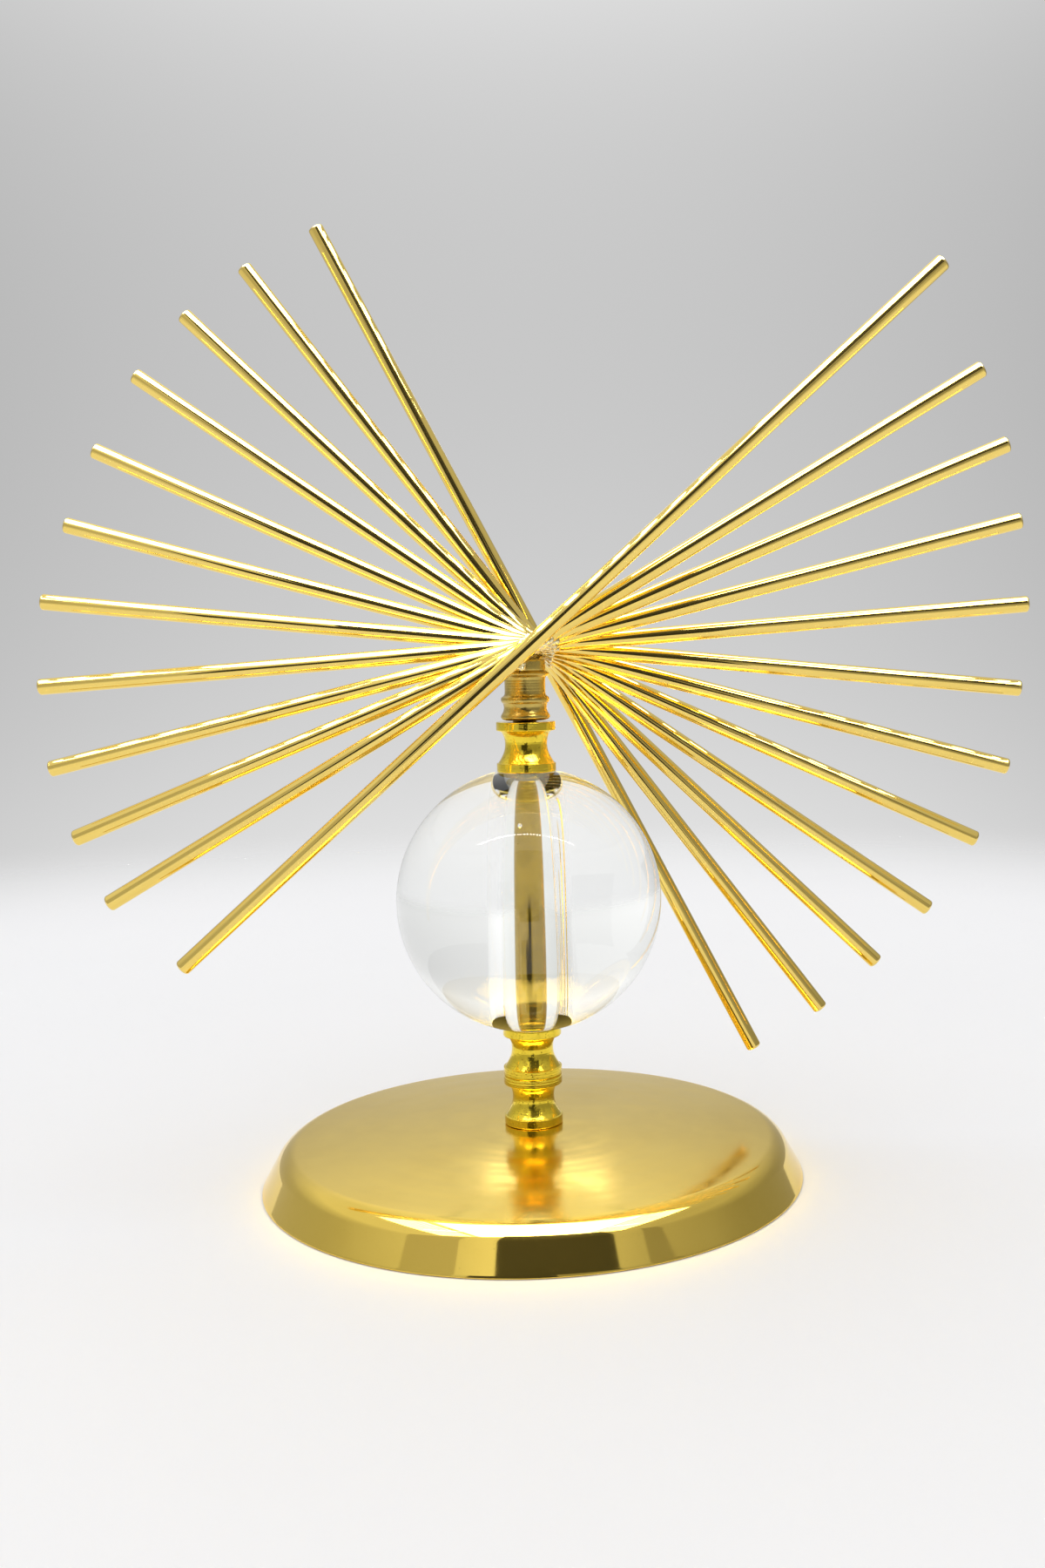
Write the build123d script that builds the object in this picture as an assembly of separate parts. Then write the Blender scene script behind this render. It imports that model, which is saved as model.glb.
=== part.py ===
"""Rod fan table sculpture: brass rods fanned out on a glass ball stand.

Millimetres, +Z up.  The origin is the centre of the base's rest plane.  The
stem stands on the Z axis.  The rods are stacked front to back along Y, and
each one lies in its own XZ plane.
"""
from build123d import *
import os
from math import cos, radians, sin, sqrt, tan

# ---------------------------------------------------------------- rods
ROD_LENGTH = 304.8  # twelve inches
ROD_DIAMETER = 5.0
ROD_TIP_ROUNDING = 0.5
ROD_PITCH = 5.02  # the stacked rods all but touch
# Each rod's slope from +X in degrees, front rod first, and how far its middle
# lies along it from the line where all the rods cross.
ROD_SLOPES = (41.7, 30.4, 21.9, 13.4, 3.9, -5.9, -15.2, -24.6, -34.7, -43.9, -53.0, -62.8)
ROD_SHIFTS = (9.7, 2.6, 1.3, -0.2, -0.3, -0.5, 1.7, 1.6, 0.7, -0.1, 0.5, 1.0)
CROSSING_X = 3.4  # the fan was soldered on a little beside the stem's axis
CROSSING_Z = 168.5

# ---------------------------------------------------------------- base dish
BASE_RIM_RADIUS = 86.0
BASE_SHEET = 1.5
SKIRT_LEAN = radians(29)  # from upright
SHOULDER_RADIUS = 8.0
SHOULDER_TOP_Z = 12.8
DOME_SLOPE = radians(5.5)  # of the shallow top, where it meets the shoulder

# ---------------------------------------------------------------- stem and its fittings
STEM_RADIUS = 3.95  # M8 threaded rod
STEM_HOLE_RADIUS = 4.05
STEM_CHAMFER = 0.6
STEM_BELOW_NUT = 1.0
SLEEVE_RADIUS = 4.9
SLEEVE_END_GAP = 3.4  # the rod's thread shows below the sleeve
WASHER_RADIUS = 12.0
WASHER_THICKNESS = 1.5
NUT_ACROSS_FLATS = 13.0
NUT_HEIGHT = 6.0
NUT_CHAMFER = 0.7

# ---------------------------------------------------------------- turned necks
NECK_HEIGHT = 15.7
NECK_FLANGE_RADIUS = 9.3
NECK_FLANGE_HEIGHT = 2.8
NECK_EDGE = 0.45
NECK_UPPER_LIP_RADIUS = 8.2
NECK_WAIST_RADIUS = 6.7
NECK_LOWER_LIP_RADIUS = 8.9
NECK_WAIST_SHARE = 0.58  # the waist's place between the two flanges

# ---------------------------------------------------------------- glass ball
BALL_RADIUS = 41.8
BALL_BORE_RADIUS = 8.9
BALL_SEAT_RADIUS = 9.8  # outside of the ground flat round each end of the bore
BUSH_HEIGHT = 6.0

# ---------------------------------------------------------------- collar and solder
# Turned outline from the bottom up, as (radius, height) along each stretch.
COLLAR_FOOT = ((6.4, 0.0), (7.4, 0.35))
COLLAR_FOOT_BEAD = ((7.4, 0.35), (7.7, 1.1), (7.3, 2.0))
COLLAR_COVE = ((7.3, 2.0), (6.7, 3.5), (7.0, 5.2))
COLLAR_LOWER_BEAD = ((7.0, 5.2), (7.6, 6.4), (6.7, 7.6))
COLLAR_BARREL = ((6.7, 7.6), (6.4, 7.9), (6.4, 13.4))
COLLAR_UPPER_BEAD = ((6.4, 13.4), (7.6, 14.4), (6.4, 15.4))
COLLAR_CAP = ((6.4, 15.4), (6.5, 15.7), (6.5, 18.6), (6.0, 19.1))
COLLAR_LENGTH = COLLAR_CAP[-1][1]
COLLAR_BORE_DEPTH = 14.0
COLLAR_LIFT = 0.45  # the dark gap under the collar
SOLDER_PAD_RADIUS = 6.2
SEAM_LENGTH = 8.0  # of the solder under one crossing of two rods
SEAM_WIDTH = 2.4
SEAM_DROP = 1.3

# ---------------------------------------------------------------- running fits
RUNNING_GAP = 0.05  # radial, on everything that turns on the stem
FACE_GAP = 0.05  # between faces that turn on each other

# ---------------------------------------------------------------- stacked heights
shoulder_z = SHOULDER_TOP_Z - SHOULDER_RADIUS * cos(DOME_SLOPE)
skirt_top_z = shoulder_z + SHOULDER_RADIUS * sin(SKIRT_LEAN)
skirt_top_radius = BASE_RIM_RADIUS - skirt_top_z * tan(SKIRT_LEAN)
shoulder_centre_radius = skirt_top_radius - SHOULDER_RADIUS * cos(SKIRT_LEAN)
dome_edge_radius = shoulder_centre_radius + SHOULDER_RADIUS * sin(DOME_SLOPE)
dome_radius = dome_edge_radius / sin(DOME_SLOPE)
dome_centre_z = SHOULDER_TOP_Z - dome_radius * cos(DOME_SLOPE)
base_top_z = dome_centre_z + dome_radius

ball_half_height = sqrt(BALL_RADIUS**2 - BALL_SEAT_RADIUS**2)
lower_neck_z = base_top_z
middle_neck_z = lower_neck_z + NECK_HEIGHT
middle_neck_top_z = middle_neck_z + NECK_HEIGHT
ball_bottom_z = middle_neck_top_z + FACE_GAP
ball_centre_z = ball_bottom_z + ball_half_height
ball_top_z = ball_centre_z + ball_half_height
upper_neck_z = ball_top_z + FACE_GAP
collar_z = upper_neck_z + NECK_HEIGHT + COLLAR_LIFT
collar_top_z = collar_z + COLLAR_LENGTH
stem_top_z = collar_z + COLLAR_BORE_DEPTH - FACE_GAP

# The washer touches the underside of the domed top with its outer edge.
inner_dome_radius = dome_radius - BASE_SHEET
washer_top_z = dome_centre_z + sqrt(inner_dome_radius**2 - WASHER_RADIUS**2)
washer_z = washer_top_z - WASHER_THICKNESS
nut_z = washer_z - NUT_HEIGHT
stem_bottom_z = nut_z - STEM_BELOW_NUT

OUT = "parts"
os.makedirs(OUT, exist_ok=True)


def save(shape, node):
    """Write one node's STEP file."""
    export_step(shape, f"{OUT}/{node}.step")
    print(f"{node:18s} {shape.volume:10.1f} mm3")


def at_height(z, shape):
    """Lift a shape up the stem's axis."""
    return Pos(0, 0, z) * shape


def rod_on_axis(radius, z_low, z_high):
    """A plain cylinder on the stem's axis."""
    return at_height((z_low + z_high) / 2, Cylinder(radius, z_high - z_low))


def tube_on_axis(outer_radius, inner_radius, z_low, z_high):
    """A plain tube on the stem's axis."""
    outside = rod_on_axis(outer_radius, z_low, z_high)
    return outside - rod_on_axis(inner_radius, z_low - 1, z_high + 1)


def turned(edges):
    """Turn a closed outline of the XZ plane once round the Z axis."""
    face = make_face(Curve() + edges)
    return revolve(face, Axis.Z)


def outline_point(radius, z):
    """A point of a turned outline."""
    return (radius, 0, z)


# ---------------------------------------------------------------- base
def point_on_arc(centre_radius, centre_z, bend, angle):
    """A point of an arc, its angle measured from outward to upward."""
    return outline_point(centre_radius + bend * cos(angle), centre_z + bend * sin(angle))


def filled_dish(inset):
    """The dish's outer form as a solid, with its skin moved in by inset."""
    bend = SHOULDER_RADIUS - inset
    dome = dome_radius - inset
    upright = radians(90)
    dome_edge_angle = upright - DOME_SLOPE
    centre = outline_point(0, 0)
    rim = outline_point(BASE_RIM_RADIUS - inset / cos(SKIRT_LEAN), 0)
    skirt_top, shoulder, dome_edge = [
        point_on_arc(shoulder_centre_radius, shoulder_z, bend, angle)
        for angle in (SKIRT_LEAN, (SKIRT_LEAN + dome_edge_angle) / 2, dome_edge_angle)
    ]
    half_way = point_on_arc(0, dome_centre_z, dome, upright - DOME_SLOPE / 2)
    crown = point_on_arc(0, dome_centre_z, dome, upright)
    return turned(
        [
            Line(centre, rim),
            Line(rim, skirt_top),
            ThreePointArc(skirt_top, shoulder, dome_edge),
            ThreePointArc(dome_edge, half_way, crown),
            Line(crown, centre),
        ]
    )


def base_dish():
    """The spun sheet dish, open underneath, with the stem's hole in its top."""
    dish = filled_dish(0) - filled_dish(BASE_SHEET)
    return dish - rod_on_axis(STEM_HOLE_RADIUS, 0, base_top_z + 1)


def base_washer():
    """The large washer that spreads the nut's pull under the dish."""
    return tube_on_axis(WASHER_RADIUS, STEM_HOLE_RADIUS, washer_z, washer_top_z)


def base_nut():
    """The hexagon nut that pulls the stem down, with its corners turned off."""
    corner_radius = NUT_ACROSS_FLATS / 2 / cos(radians(30))
    flat_radius = NUT_ACROSS_FLATS / 2
    blank = [
        outline_point(0, nut_z),
        outline_point(flat_radius, nut_z),
        outline_point(corner_radius, nut_z + NUT_CHAMFER),
        outline_point(corner_radius, washer_z - NUT_CHAMFER),
        outline_point(flat_radius, washer_z),
        outline_point(0, washer_z),
    ]
    turned_blank = turned([Polyline(*blank, close=True)])
    hexagon = at_height(nut_z, extrude(RegularPolygon(corner_radius, 6), NUT_HEIGHT))
    return (hexagon & turned_blank) - rod_on_axis(STEM_RADIUS, nut_z - 1, washer_z + 1)


# ---------------------------------------------------------------- stem
def stem_rod():
    """The threaded rod that holds the whole stack together."""
    rod = rod_on_axis(STEM_RADIUS, stem_bottom_z, stem_top_z)
    ends = rod.edges().filter_by(GeomType.CIRCLE)
    return chamfer(ends, STEM_CHAMFER)


def stem_sleeve():
    """The tube that dresses the rod where it shows through the glass."""
    low = middle_neck_top_z + SLEEVE_END_GAP
    return tube_on_axis(SLEEVE_RADIUS, STEM_HOLE_RADIUS, low, upper_neck_z)


def neck(z):
    """A turned spool: two flanges, with a waist nearer the upper one."""
    flange_low = NECK_FLANGE_HEIGHT
    flange_high = NECK_HEIGHT - NECK_FLANGE_HEIGHT
    waist_z = flange_low + NECK_WAIST_SHARE * (flange_high - flange_low)
    rim = NECK_FLANGE_RADIUS
    bore = STEM_HOLE_RADIUS
    flange_face = rim - NECK_EDGE
    corners = [
        (bore, 0),
        (flange_face, 0),
        (rim, NECK_EDGE),
        (rim, flange_low),
        (NECK_LOWER_LIP_RADIUS, flange_low),
    ]
    upper_corners = [
        (NECK_UPPER_LIP_RADIUS, flange_high),
        (flange_face, flange_high),
        (rim, flange_high + NECK_EDGE),
        (rim, NECK_HEIGHT - NECK_EDGE),
        (flange_face, NECK_HEIGHT),
        (bore, NECK_HEIGHT),
    ]
    lower = [outline_point(radius, height + z) for radius, height in corners]
    upper = [outline_point(radius, height + z) for radius, height in upper_corners]
    waist = outline_point(NECK_WAIST_RADIUS, waist_z + z)
    cove = Spline(lower[-1], waist, upper[0], tangents=[(-1, 0, 0.6), (1, 0, 0.5)])
    closing = Line(upper[-1], lower[0])
    return turned([Polyline(*lower), cove, Polyline(*upper), closing])


# ---------------------------------------------------------------- glass ball
def glass_ball():
    """The solid ball with a straight bore and a ground flat at each end of it."""
    slab = rod_on_axis(BALL_RADIUS + 1, ball_bottom_z, ball_top_z)
    ball = at_height(ball_centre_z, Sphere(BALL_RADIUS)) & slab
    return ball - rod_on_axis(BALL_BORE_RADIUS, ball_bottom_z - 1, ball_top_z + 1)


def ball_bush(z_low):
    """A plastic ring that centres the ball's bore on the sleeve."""
    outer_radius = BALL_BORE_RADIUS - RUNNING_GAP
    inner_radius = SLEEVE_RADIUS + RUNNING_GAP
    return tube_on_axis(outer_radius, inner_radius, z_low, z_low + BUSH_HEIGHT)


# ---------------------------------------------------------------- collar
def collar_points(stretch):
    """The points of one stretch of the collar's outline, at the collar's height."""
    return [outline_point(radius, collar_z + height) for radius, height in stretch]


def fan_collar():
    """The turned brass collar that drops over the stem's top end and swivels."""
    bottom, top = outline_point(0, collar_z), outline_point(0, collar_top_z)
    solid = turned(
        [
            Polyline(bottom, *collar_points(COLLAR_FOOT)),
            ThreePointArc(*collar_points(COLLAR_FOOT_BEAD)),
            ThreePointArc(*collar_points(COLLAR_COVE)),
            ThreePointArc(*collar_points(COLLAR_LOWER_BEAD)),
            Polyline(*collar_points(COLLAR_BARREL)),
            ThreePointArc(*collar_points(COLLAR_UPPER_BEAD)),
            Polyline(*collar_points(COLLAR_CAP), top),
            Line(top, bottom),
        ]
    )
    bore_top_z = collar_z + COLLAR_BORE_DEPTH
    return solid - rod_on_axis(STEM_RADIUS + RUNNING_GAP, collar_z - 1, bore_top_z)


# ---------------------------------------------------------------- rods and solder
def rod_place(index):
    """Where a rod's middle is, with the rod along the place's own Z axis."""
    slope = radians(ROD_SLOPES[index])
    shift = ROD_SHIFTS[index]
    x = CROSSING_X + shift * cos(slope)
    z = CROSSING_Z + shift * sin(slope)
    y = (index - (len(ROD_SLOPES) - 1) / 2) * ROD_PITCH
    return Location((x, y, z), (0, 90 - ROD_SLOPES[index], 0))


def rod(index):
    """One straight rod with lightly rounded ends."""
    bar = Cylinder(ROD_DIAMETER / 2, ROD_LENGTH)
    ends = bar.edges().filter_by(GeomType.CIRCLE)
    return rod_place(index) * fillet(ends, ROD_TIP_ROUNDING)


def cut_by_rods(shape, indices):
    """Take the rods out of a piece of solder, so that it fits them."""
    for index in indices:
        shape = shape - rod_place(index) * Cylinder(ROD_DIAMETER / 2, ROD_LENGTH)
    return shape


def biggest_solid(shape):
    """The largest separate solid of a shape."""
    return max(shape.solids(), key=lambda solid: solid.volume)


def collar_solder():
    """The solder bed between the collar's top and the middle rods."""
    bed = rod_on_axis(SOLDER_PAD_RADIUS, collar_top_z, CROSSING_Z)
    return biggest_solid(cut_by_rods(bed, range(len(ROD_SLOPES))))


def rod_solder():
    """A short seam of solder under each crossing that is clear of the bed."""
    seams = []
    for index in range(len(ROD_SLOPES) - 1):
        y = (rod_place(index).position.Y + rod_place(index + 1).position.Y) / 2
        if abs(y) > SOLDER_PAD_RADIUS:
            place = Pos(CROSSING_X, y, CROSSING_Z - SEAM_DROP)
            lump = place * Box(SEAM_LENGTH, SEAM_WIDTH, SEAM_WIDTH)
            seams.append(biggest_solid(cut_by_rods(lump, (index, index + 1))))
    return Compound(children=seams)


save(base_dish(), "base_dish")
save(base_washer(), "base_washer")
save(base_nut(), "base_nut")
save(stem_rod(), "stem_rod")
save(stem_sleeve(), "stem_sleeve")
save(neck(lower_neck_z), "lower_neck")
save(neck(middle_neck_z), "middle_neck")
save(neck(upper_neck_z), "upper_neck")
save(ball_bush(middle_neck_top_z), "lower_ball_bush")
save(ball_bush(upper_neck_z - BUSH_HEIGHT), "upper_ball_bush")
save(glass_ball(), "glass_ball")
save(fan_collar(), "fan_collar")
save(collar_solder(), "collar_solder")
save(rod_solder(), "rod_solder")
for number in range(len(ROD_SLOPES)):
    save(rod(number), f"rod_{number + 1:02d}")
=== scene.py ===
# %% [markdown]
# # A brass rod fan on a glass ball
#
# This lesson dresses a small table sculpture: twelve brass rods fanned out
# like a sunburst, a clear glass ball, three turned necks and a spun brass
# dish.  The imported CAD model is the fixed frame.  Blender replaces its plain
# solids with smooth, finely made pieces in the same places.

# %% Load the frame
import math
import random

import bmesh
import bpy
from mathutils import Matrix, Vector


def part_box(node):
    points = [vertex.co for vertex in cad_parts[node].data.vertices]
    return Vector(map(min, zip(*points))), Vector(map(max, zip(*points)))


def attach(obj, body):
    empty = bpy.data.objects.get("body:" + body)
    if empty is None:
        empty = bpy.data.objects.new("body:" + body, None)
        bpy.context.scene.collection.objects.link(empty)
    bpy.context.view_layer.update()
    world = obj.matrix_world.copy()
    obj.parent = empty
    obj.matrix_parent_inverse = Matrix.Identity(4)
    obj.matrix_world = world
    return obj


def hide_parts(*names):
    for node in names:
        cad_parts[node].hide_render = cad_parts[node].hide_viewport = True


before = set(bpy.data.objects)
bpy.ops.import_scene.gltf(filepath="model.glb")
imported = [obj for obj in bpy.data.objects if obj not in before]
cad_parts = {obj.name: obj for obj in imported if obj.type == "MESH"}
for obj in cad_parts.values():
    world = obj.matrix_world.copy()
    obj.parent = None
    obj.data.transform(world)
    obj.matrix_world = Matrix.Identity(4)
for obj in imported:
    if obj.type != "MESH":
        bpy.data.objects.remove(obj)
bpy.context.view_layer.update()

MM = 0.001
scene = bpy.context.scene
scene.view_settings.view_transform = "Standard"

# %% [markdown]
# ## The camera
# The sculpture is seen from the front at about the height of the rods'
# crossing, a little from the right, and from half a metre away.  A short
# distance and a lens of 35 mm give the strong perspective that makes the dish
# look like a deep ellipse.  A camera's axes are the columns of its matrix, so
# aim, pitch and roll are worked out first and written there in one go.

# %% Camera
CAMERA_DISTANCE = 0.4798
CAMERA_HEIGHT = 0.1668
CAMERA_SIDE = math.radians(3.20)  # how far the camera stands round to +X
CAMERA_YAW = math.radians(-0.10)
CAMERA_PITCH = math.radians(-5.67)
CAMERA_ROLL = math.radians(-0.89)
LENS_MM = 35.1
LENS_SHIFT = (-0.059, 0.0111)


def make_camera():
    """Place the camera from its distance, height and side angle, then aim it."""
    data = bpy.data.cameras.new("studio_camera")
    data.lens = LENS_MM
    data.sensor_width = 36
    data.shift_x, data.shift_y = LENS_SHIFT
    data.clip_start = 0.01
    camera = bpy.data.objects.new("studio_camera", data)
    scene.collection.objects.link(camera)
    yaw, pitch, roll = CAMERA_YAW, CAMERA_PITCH, CAMERA_ROLL
    forward = Vector((-math.sin(yaw) * math.cos(pitch), math.cos(yaw) * math.cos(pitch), math.sin(pitch)))
    level_right = Vector((math.cos(yaw), math.sin(yaw), 0))
    level_up = level_right.cross(forward)
    right = level_right * math.cos(roll) + level_up * math.sin(roll)
    up = level_up * math.cos(roll) - level_right * math.sin(roll)
    place = Vector((math.sin(CAMERA_SIDE), -math.cos(CAMERA_SIDE), 0)) * CAMERA_DISTANCE
    place.z = CAMERA_HEIGHT
    columns = Matrix((right, up, -forward)).transposed()
    camera.matrix_world = Matrix.Translation(place) @ columns.to_4x4()
    scene.camera = camera
    return camera


camera = make_camera()
print("camera at", [round(v, 3) for v in camera.location])

# %% [markdown]
# ## Small helpers
# Most pieces here are turned on a lathe, so one helper takes an outline of
# (radius, height) points and turns it into a closed mesh.  An outline that
# starts and ends on the axis makes a solid; a loop makes a ring.  Another
# helper rounds an outline's corners, because a real lathe tool and a
# polishing cloth never leave a knife edge, and rounded edges catch the light.


# %% Turning helpers
def soften(outline, radii, steps=5, loop=False):
    """Round the corners of an outline; radii holds one rounding per point."""
    smooth = []
    count = len(outline)
    for i, (point, rounding) in enumerate(zip(outline, radii)):
        here = Vector(point)
        if rounding == 0 or (not loop and i in (0, count - 1)):
            smooth.append(here)
            continue
        before, after = Vector(outline[i - 1]), Vector(outline[(i + 1) % count])
        to_before, to_after = (before - here), (after - here)
        reach = min(rounding, to_before.length * 0.49, to_after.length * 0.49)
        start, end = here + to_before.normalized() * reach, here + to_after.normalized() * reach
        for k in range(steps + 1):
            t = k / steps
            smooth.append(start * (1 - t) ** 2 + here * 2 * t * (1 - t) + end * t**2)
    return [tuple(p) for p in smooth]


def divided(outline, longest):
    """Split the long stretches of an outline, so that fine tool marks have points to move."""
    dense = [outline[0]]
    for a, b in zip(outline, outline[1:]):
        parts = max(1, math.ceil(math.dist(a, b) / longest))
        dense += [tuple(p + (q - p) * k / parts for p, q in zip(a, b)) for k in range(1, parts + 1)]
    return dense


def mesh_object(name, vertices, faces, sharp_angle=35):
    """Link a new smooth-shaded mesh object at the origin."""
    mesh = bpy.data.meshes.new(name)
    mesh.from_pydata([tuple(v) for v in vertices], [], faces)
    work = bmesh.new()
    work.from_mesh(mesh)
    bmesh.ops.recalc_face_normals(work, faces=work.faces)
    work.to_mesh(mesh)
    work.free()
    mesh.polygons.foreach_set("use_smooth", [True] * len(mesh.polygons))
    mesh.set_sharp_from_angle(angle=math.radians(sharp_angle))
    piece = bpy.data.objects.new(name, mesh)
    scene.collection.objects.link(piece)
    return piece


def turn(name, outline, segments=144, loop=False, shape=None, sharp_angle=35):
    """Turn an outline in millimetres round the Z axis.

    shape(radius, height, angle) may move a point a little, for tool marks.
    """
    vertices, rings = [], []
    for radius, height in outline:
        if radius < 1e-6:
            rings.append([len(vertices)] * segments)
            vertices.append((0, 0, height * MM))
            continue
        rings.append(list(range(len(vertices), len(vertices) + segments)))
        for k in range(segments):
            angle = 2 * math.pi * k / segments
            r, z = shape(radius, height, angle) if shape else (radius, height)
            vertices.append((r * math.cos(angle) * MM, r * math.sin(angle) * MM, z * MM))
    faces = []
    pairs = list(zip(rings, rings[1:])) + ([(rings[-1], rings[0])] if loop else [])
    for low, high in pairs:
        for k in range(segments):
            n = (k + 1) % segments
            corners = [low[k], low[n], high[n], high[k]]
            face = list(dict.fromkeys(corners))
            if len(face) > 2:
                faces.append(face)
    return mesh_object(name, vertices, faces, sharp_angle)


def node_mm(node):
    """The lowest and highest corner of a CAD node, in millimetres."""
    low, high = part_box(node)
    return [v / MM for v in low], [v / MM for v in high]


def dress(piece, body, slot, material, *nodes):
    """Give a finished piece its finish, its body, and the CAD nodes that it stands for."""
    piece.data.materials.clear()
    piece.data.materials.append(material)
    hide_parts(*nodes)
    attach(piece, body)
    print(f"{piece.name}: {len(piece.data.polygons)} faces, stands for {', '.join(nodes)}")


print("helpers ready")

# %% [markdown]
# ## Wiring node trees
# Shader and geometry trees are built by the same few moves: add a node, give
# each input a number or another node's output, and keep the node.  One short
# helper does that, and another adds named sockets to a node group, so that a
# tree reads almost like a formula.


# %% Node helpers
def node(tree, kind, inputs=None, **settings):
    """Add a node; inputs maps a socket's name or index to a value or an output socket."""
    made = tree.nodes.new(kind)
    for key, value in settings.items():
        setattr(made, key, value)
    for key, value in (inputs or {}).items():
        socket = made.inputs[key]
        if isinstance(value, bpy.types.NodeSocket):
            tree.links.new(value, socket)
        else:
            socket.default_value = value
    return made


def maths(tree, operation, *values):
    """One Math node; gives its output."""
    made = node(tree, "ShaderNodeMath", dict(enumerate(values)), operation=operation)
    return made.outputs[0]


def mix_colors(tree, share, first, second, blend_type="MIX"):
    """One Mix node for colours; its sockets 6, 7 and 2 are the two colours and the result."""
    made = node(tree, "ShaderNodeMix", {0: share, 6: first, 7: second},
                data_type="RGBA", blend_type=blend_type)
    return made.outputs[2]


def group_socket(tree, name, in_out, kind, default=None):
    """Add a named socket to a node group."""
    socket = tree.interface.new_socket(name, in_out=in_out, socket_type="NodeSocket" + kind)
    if default is not None:
        socket.default_value = default
    return socket


def shader_group(name, inputs, outputs):
    """An empty shader group with its sockets; gives the tree and its input and output nodes."""
    tree = bpy.data.node_groups.new(name, "ShaderNodeTree")
    for label, kind, default in inputs:
        group_socket(tree, label, "INPUT", kind, default)
    for label, kind in outputs:
        group_socket(tree, label, "OUTPUT", kind)
    return tree, tree.nodes.new("NodeGroupInput"), tree.nodes.new("NodeGroupOutput")


print("node helpers ready")

# %% [markdown]
# ## Shader groups shared by the metals
# Old brass is never one flat yellow.  Four effects make it real, and each is
# a node group, so that every metal can use it at its own strength:
# a slow drift between clean and stained metal, fine pits left by casting and
# corrosion, the rings of a lathe tool, and the hairline scratches of handling.


# %% Tone drift
def build_tone_group():
    """Colour and roughness that drift between clean and stained metal."""
    tree, given, result = shader_group(
        "brass_tone",
        [("Vector", "Vector", None), ("Clean", "Color", (0.9, 0.65, 0.2, 1)),
         ("Stained", "Color", (0.5, 0.35, 0.1, 1)), ("Patch Scale", "Float", 80.0),
         ("Amount", "Float", 0.5), ("Rough Low", "Float", 0.1), ("Rough High", "Float", 0.25)],
        [("Color", "Color"), ("Roughness", "Float")])
    patches = node(tree, "ShaderNodeTexNoise", {
        "Vector": given.outputs["Vector"], "Scale": given.outputs["Patch Scale"],
        "Detail": 6.0, "Roughness": 0.62})
    spread = node(tree, "ShaderNodeMapRange", {
        "Value": patches.outputs["Fac"], "From Min": 0.42, "From Max": 0.72})
    mask = maths(tree, "MULTIPLY", spread.outputs[0], given.outputs["Amount"])
    color = mix_colors(tree, mask, given.outputs["Clean"], given.outputs["Stained"])
    cloud = node(tree, "ShaderNodeTexNoise", {
        "Vector": given.outputs["Vector"], "Scale": 160.0, "Detail": 4.0})
    roughness = node(tree, "ShaderNodeMapRange", {
        "Value": cloud.outputs["Fac"], "From Min": 0.3, "From Max": 0.7,
        "To Min": given.outputs["Rough Low"], "To Max": given.outputs["Rough High"]})
    tree.links.new(color, result.inputs["Color"])
    tree.links.new(roughness.outputs[0], result.inputs["Roughness"])
    return tree


tone_group = build_tone_group()
print("tone group:", len(tone_group.nodes), "nodes")


# %% [markdown]
# Casting leaves tiny pits.  A Voronoi texture gives the distance to the
# nearest random point, and a short ramp on that distance makes round dots.
# A slow noise changes their size, so that some patches have hardly any.


# %% Pits
def build_pit_group():
    """Scattered round pits; Share is how far each reaches, as a part of its cell."""
    tree, given, result = shader_group(
        "casting_pits",
        [("Vector", "Vector", None), ("Scale", "Float", 1200.0), ("Share", "Float", 0.5)],
        [("Height", "Float"), ("Mask", "Float")])
    cells = node(tree, "ShaderNodeTexVoronoi", {
        "Vector": given.outputs["Vector"], "Scale": given.outputs["Scale"], "Randomness": 1.0})
    size = node(tree, "ShaderNodeTexNoise", {
        "Vector": given.outputs["Vector"], "Scale": 420.0, "Detail": 3.0})
    reach = maths(tree, "MULTIPLY", size.outputs["Fac"], given.outputs["Share"])
    dot = node(tree, "ShaderNodeMapRange", {
        "Value": cells.outputs["Distance"], "From Min": 0.0, "From Max": reach,
        "To Min": 1.0, "To Max": 0.0})
    height = maths(tree, "SUBTRACT", 1.0, dot.outputs[0])
    tree.links.new(height, result.inputs["Height"])
    tree.links.new(dot.outputs[0], result.inputs["Mask"])
    return tree


pit_group = build_pit_group()
print("pit group:", len(pit_group.nodes), "nodes")


# %% [markdown]
# A lathe tool leaves rings that run all the way round.  A noise that is read
# along the height alone has exactly that pattern.


# %% Lathe rings
def build_ring_group():
    """Rings round the Z axis: a noise that changes with height only, stronger in some places."""
    tree, given, result = shader_group(
        "lathe_rings",
        [("Vector", "Vector", None), ("Rings", "Float", 2500.0), ("Wander", "Float", 3.0)],
        [("Height", "Float")])
    parts = node(tree, "ShaderNodeSeparateXYZ", {0: given.outputs["Vector"]})
    along = node(tree, "ShaderNodeCombineXYZ", {"X": 0.0, "Y": 0.0, "Z": parts.outputs["Z"]})
    coarse = node(tree, "ShaderNodeTexNoise", {
        "Vector": along.outputs[0], "Scale": given.outputs["Rings"], "Detail": 3.0,
        "Roughness": 0.7, "Distortion": 0.0})
    sway = node(tree, "ShaderNodeTexNoise", {
        "Vector": given.outputs["Vector"], "Scale": 90.0, "Detail": 2.0})
    strength = maths(tree, "MULTIPLY", sway.outputs["Fac"], given.outputs["Wander"])
    tree.links.new(maths(tree, "MULTIPLY", coarse.outputs["Fac"], strength), result.inputs["Height"])
    return tree


ring_group = build_ring_group()
print("ring group:", len(ring_group.nodes), "nodes")


# %% [markdown]
# Handling and wiping leave hairlines in a few directions.  A noise squeezed
# hard along two axes turns into streaks, and only its peaks are kept.


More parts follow.
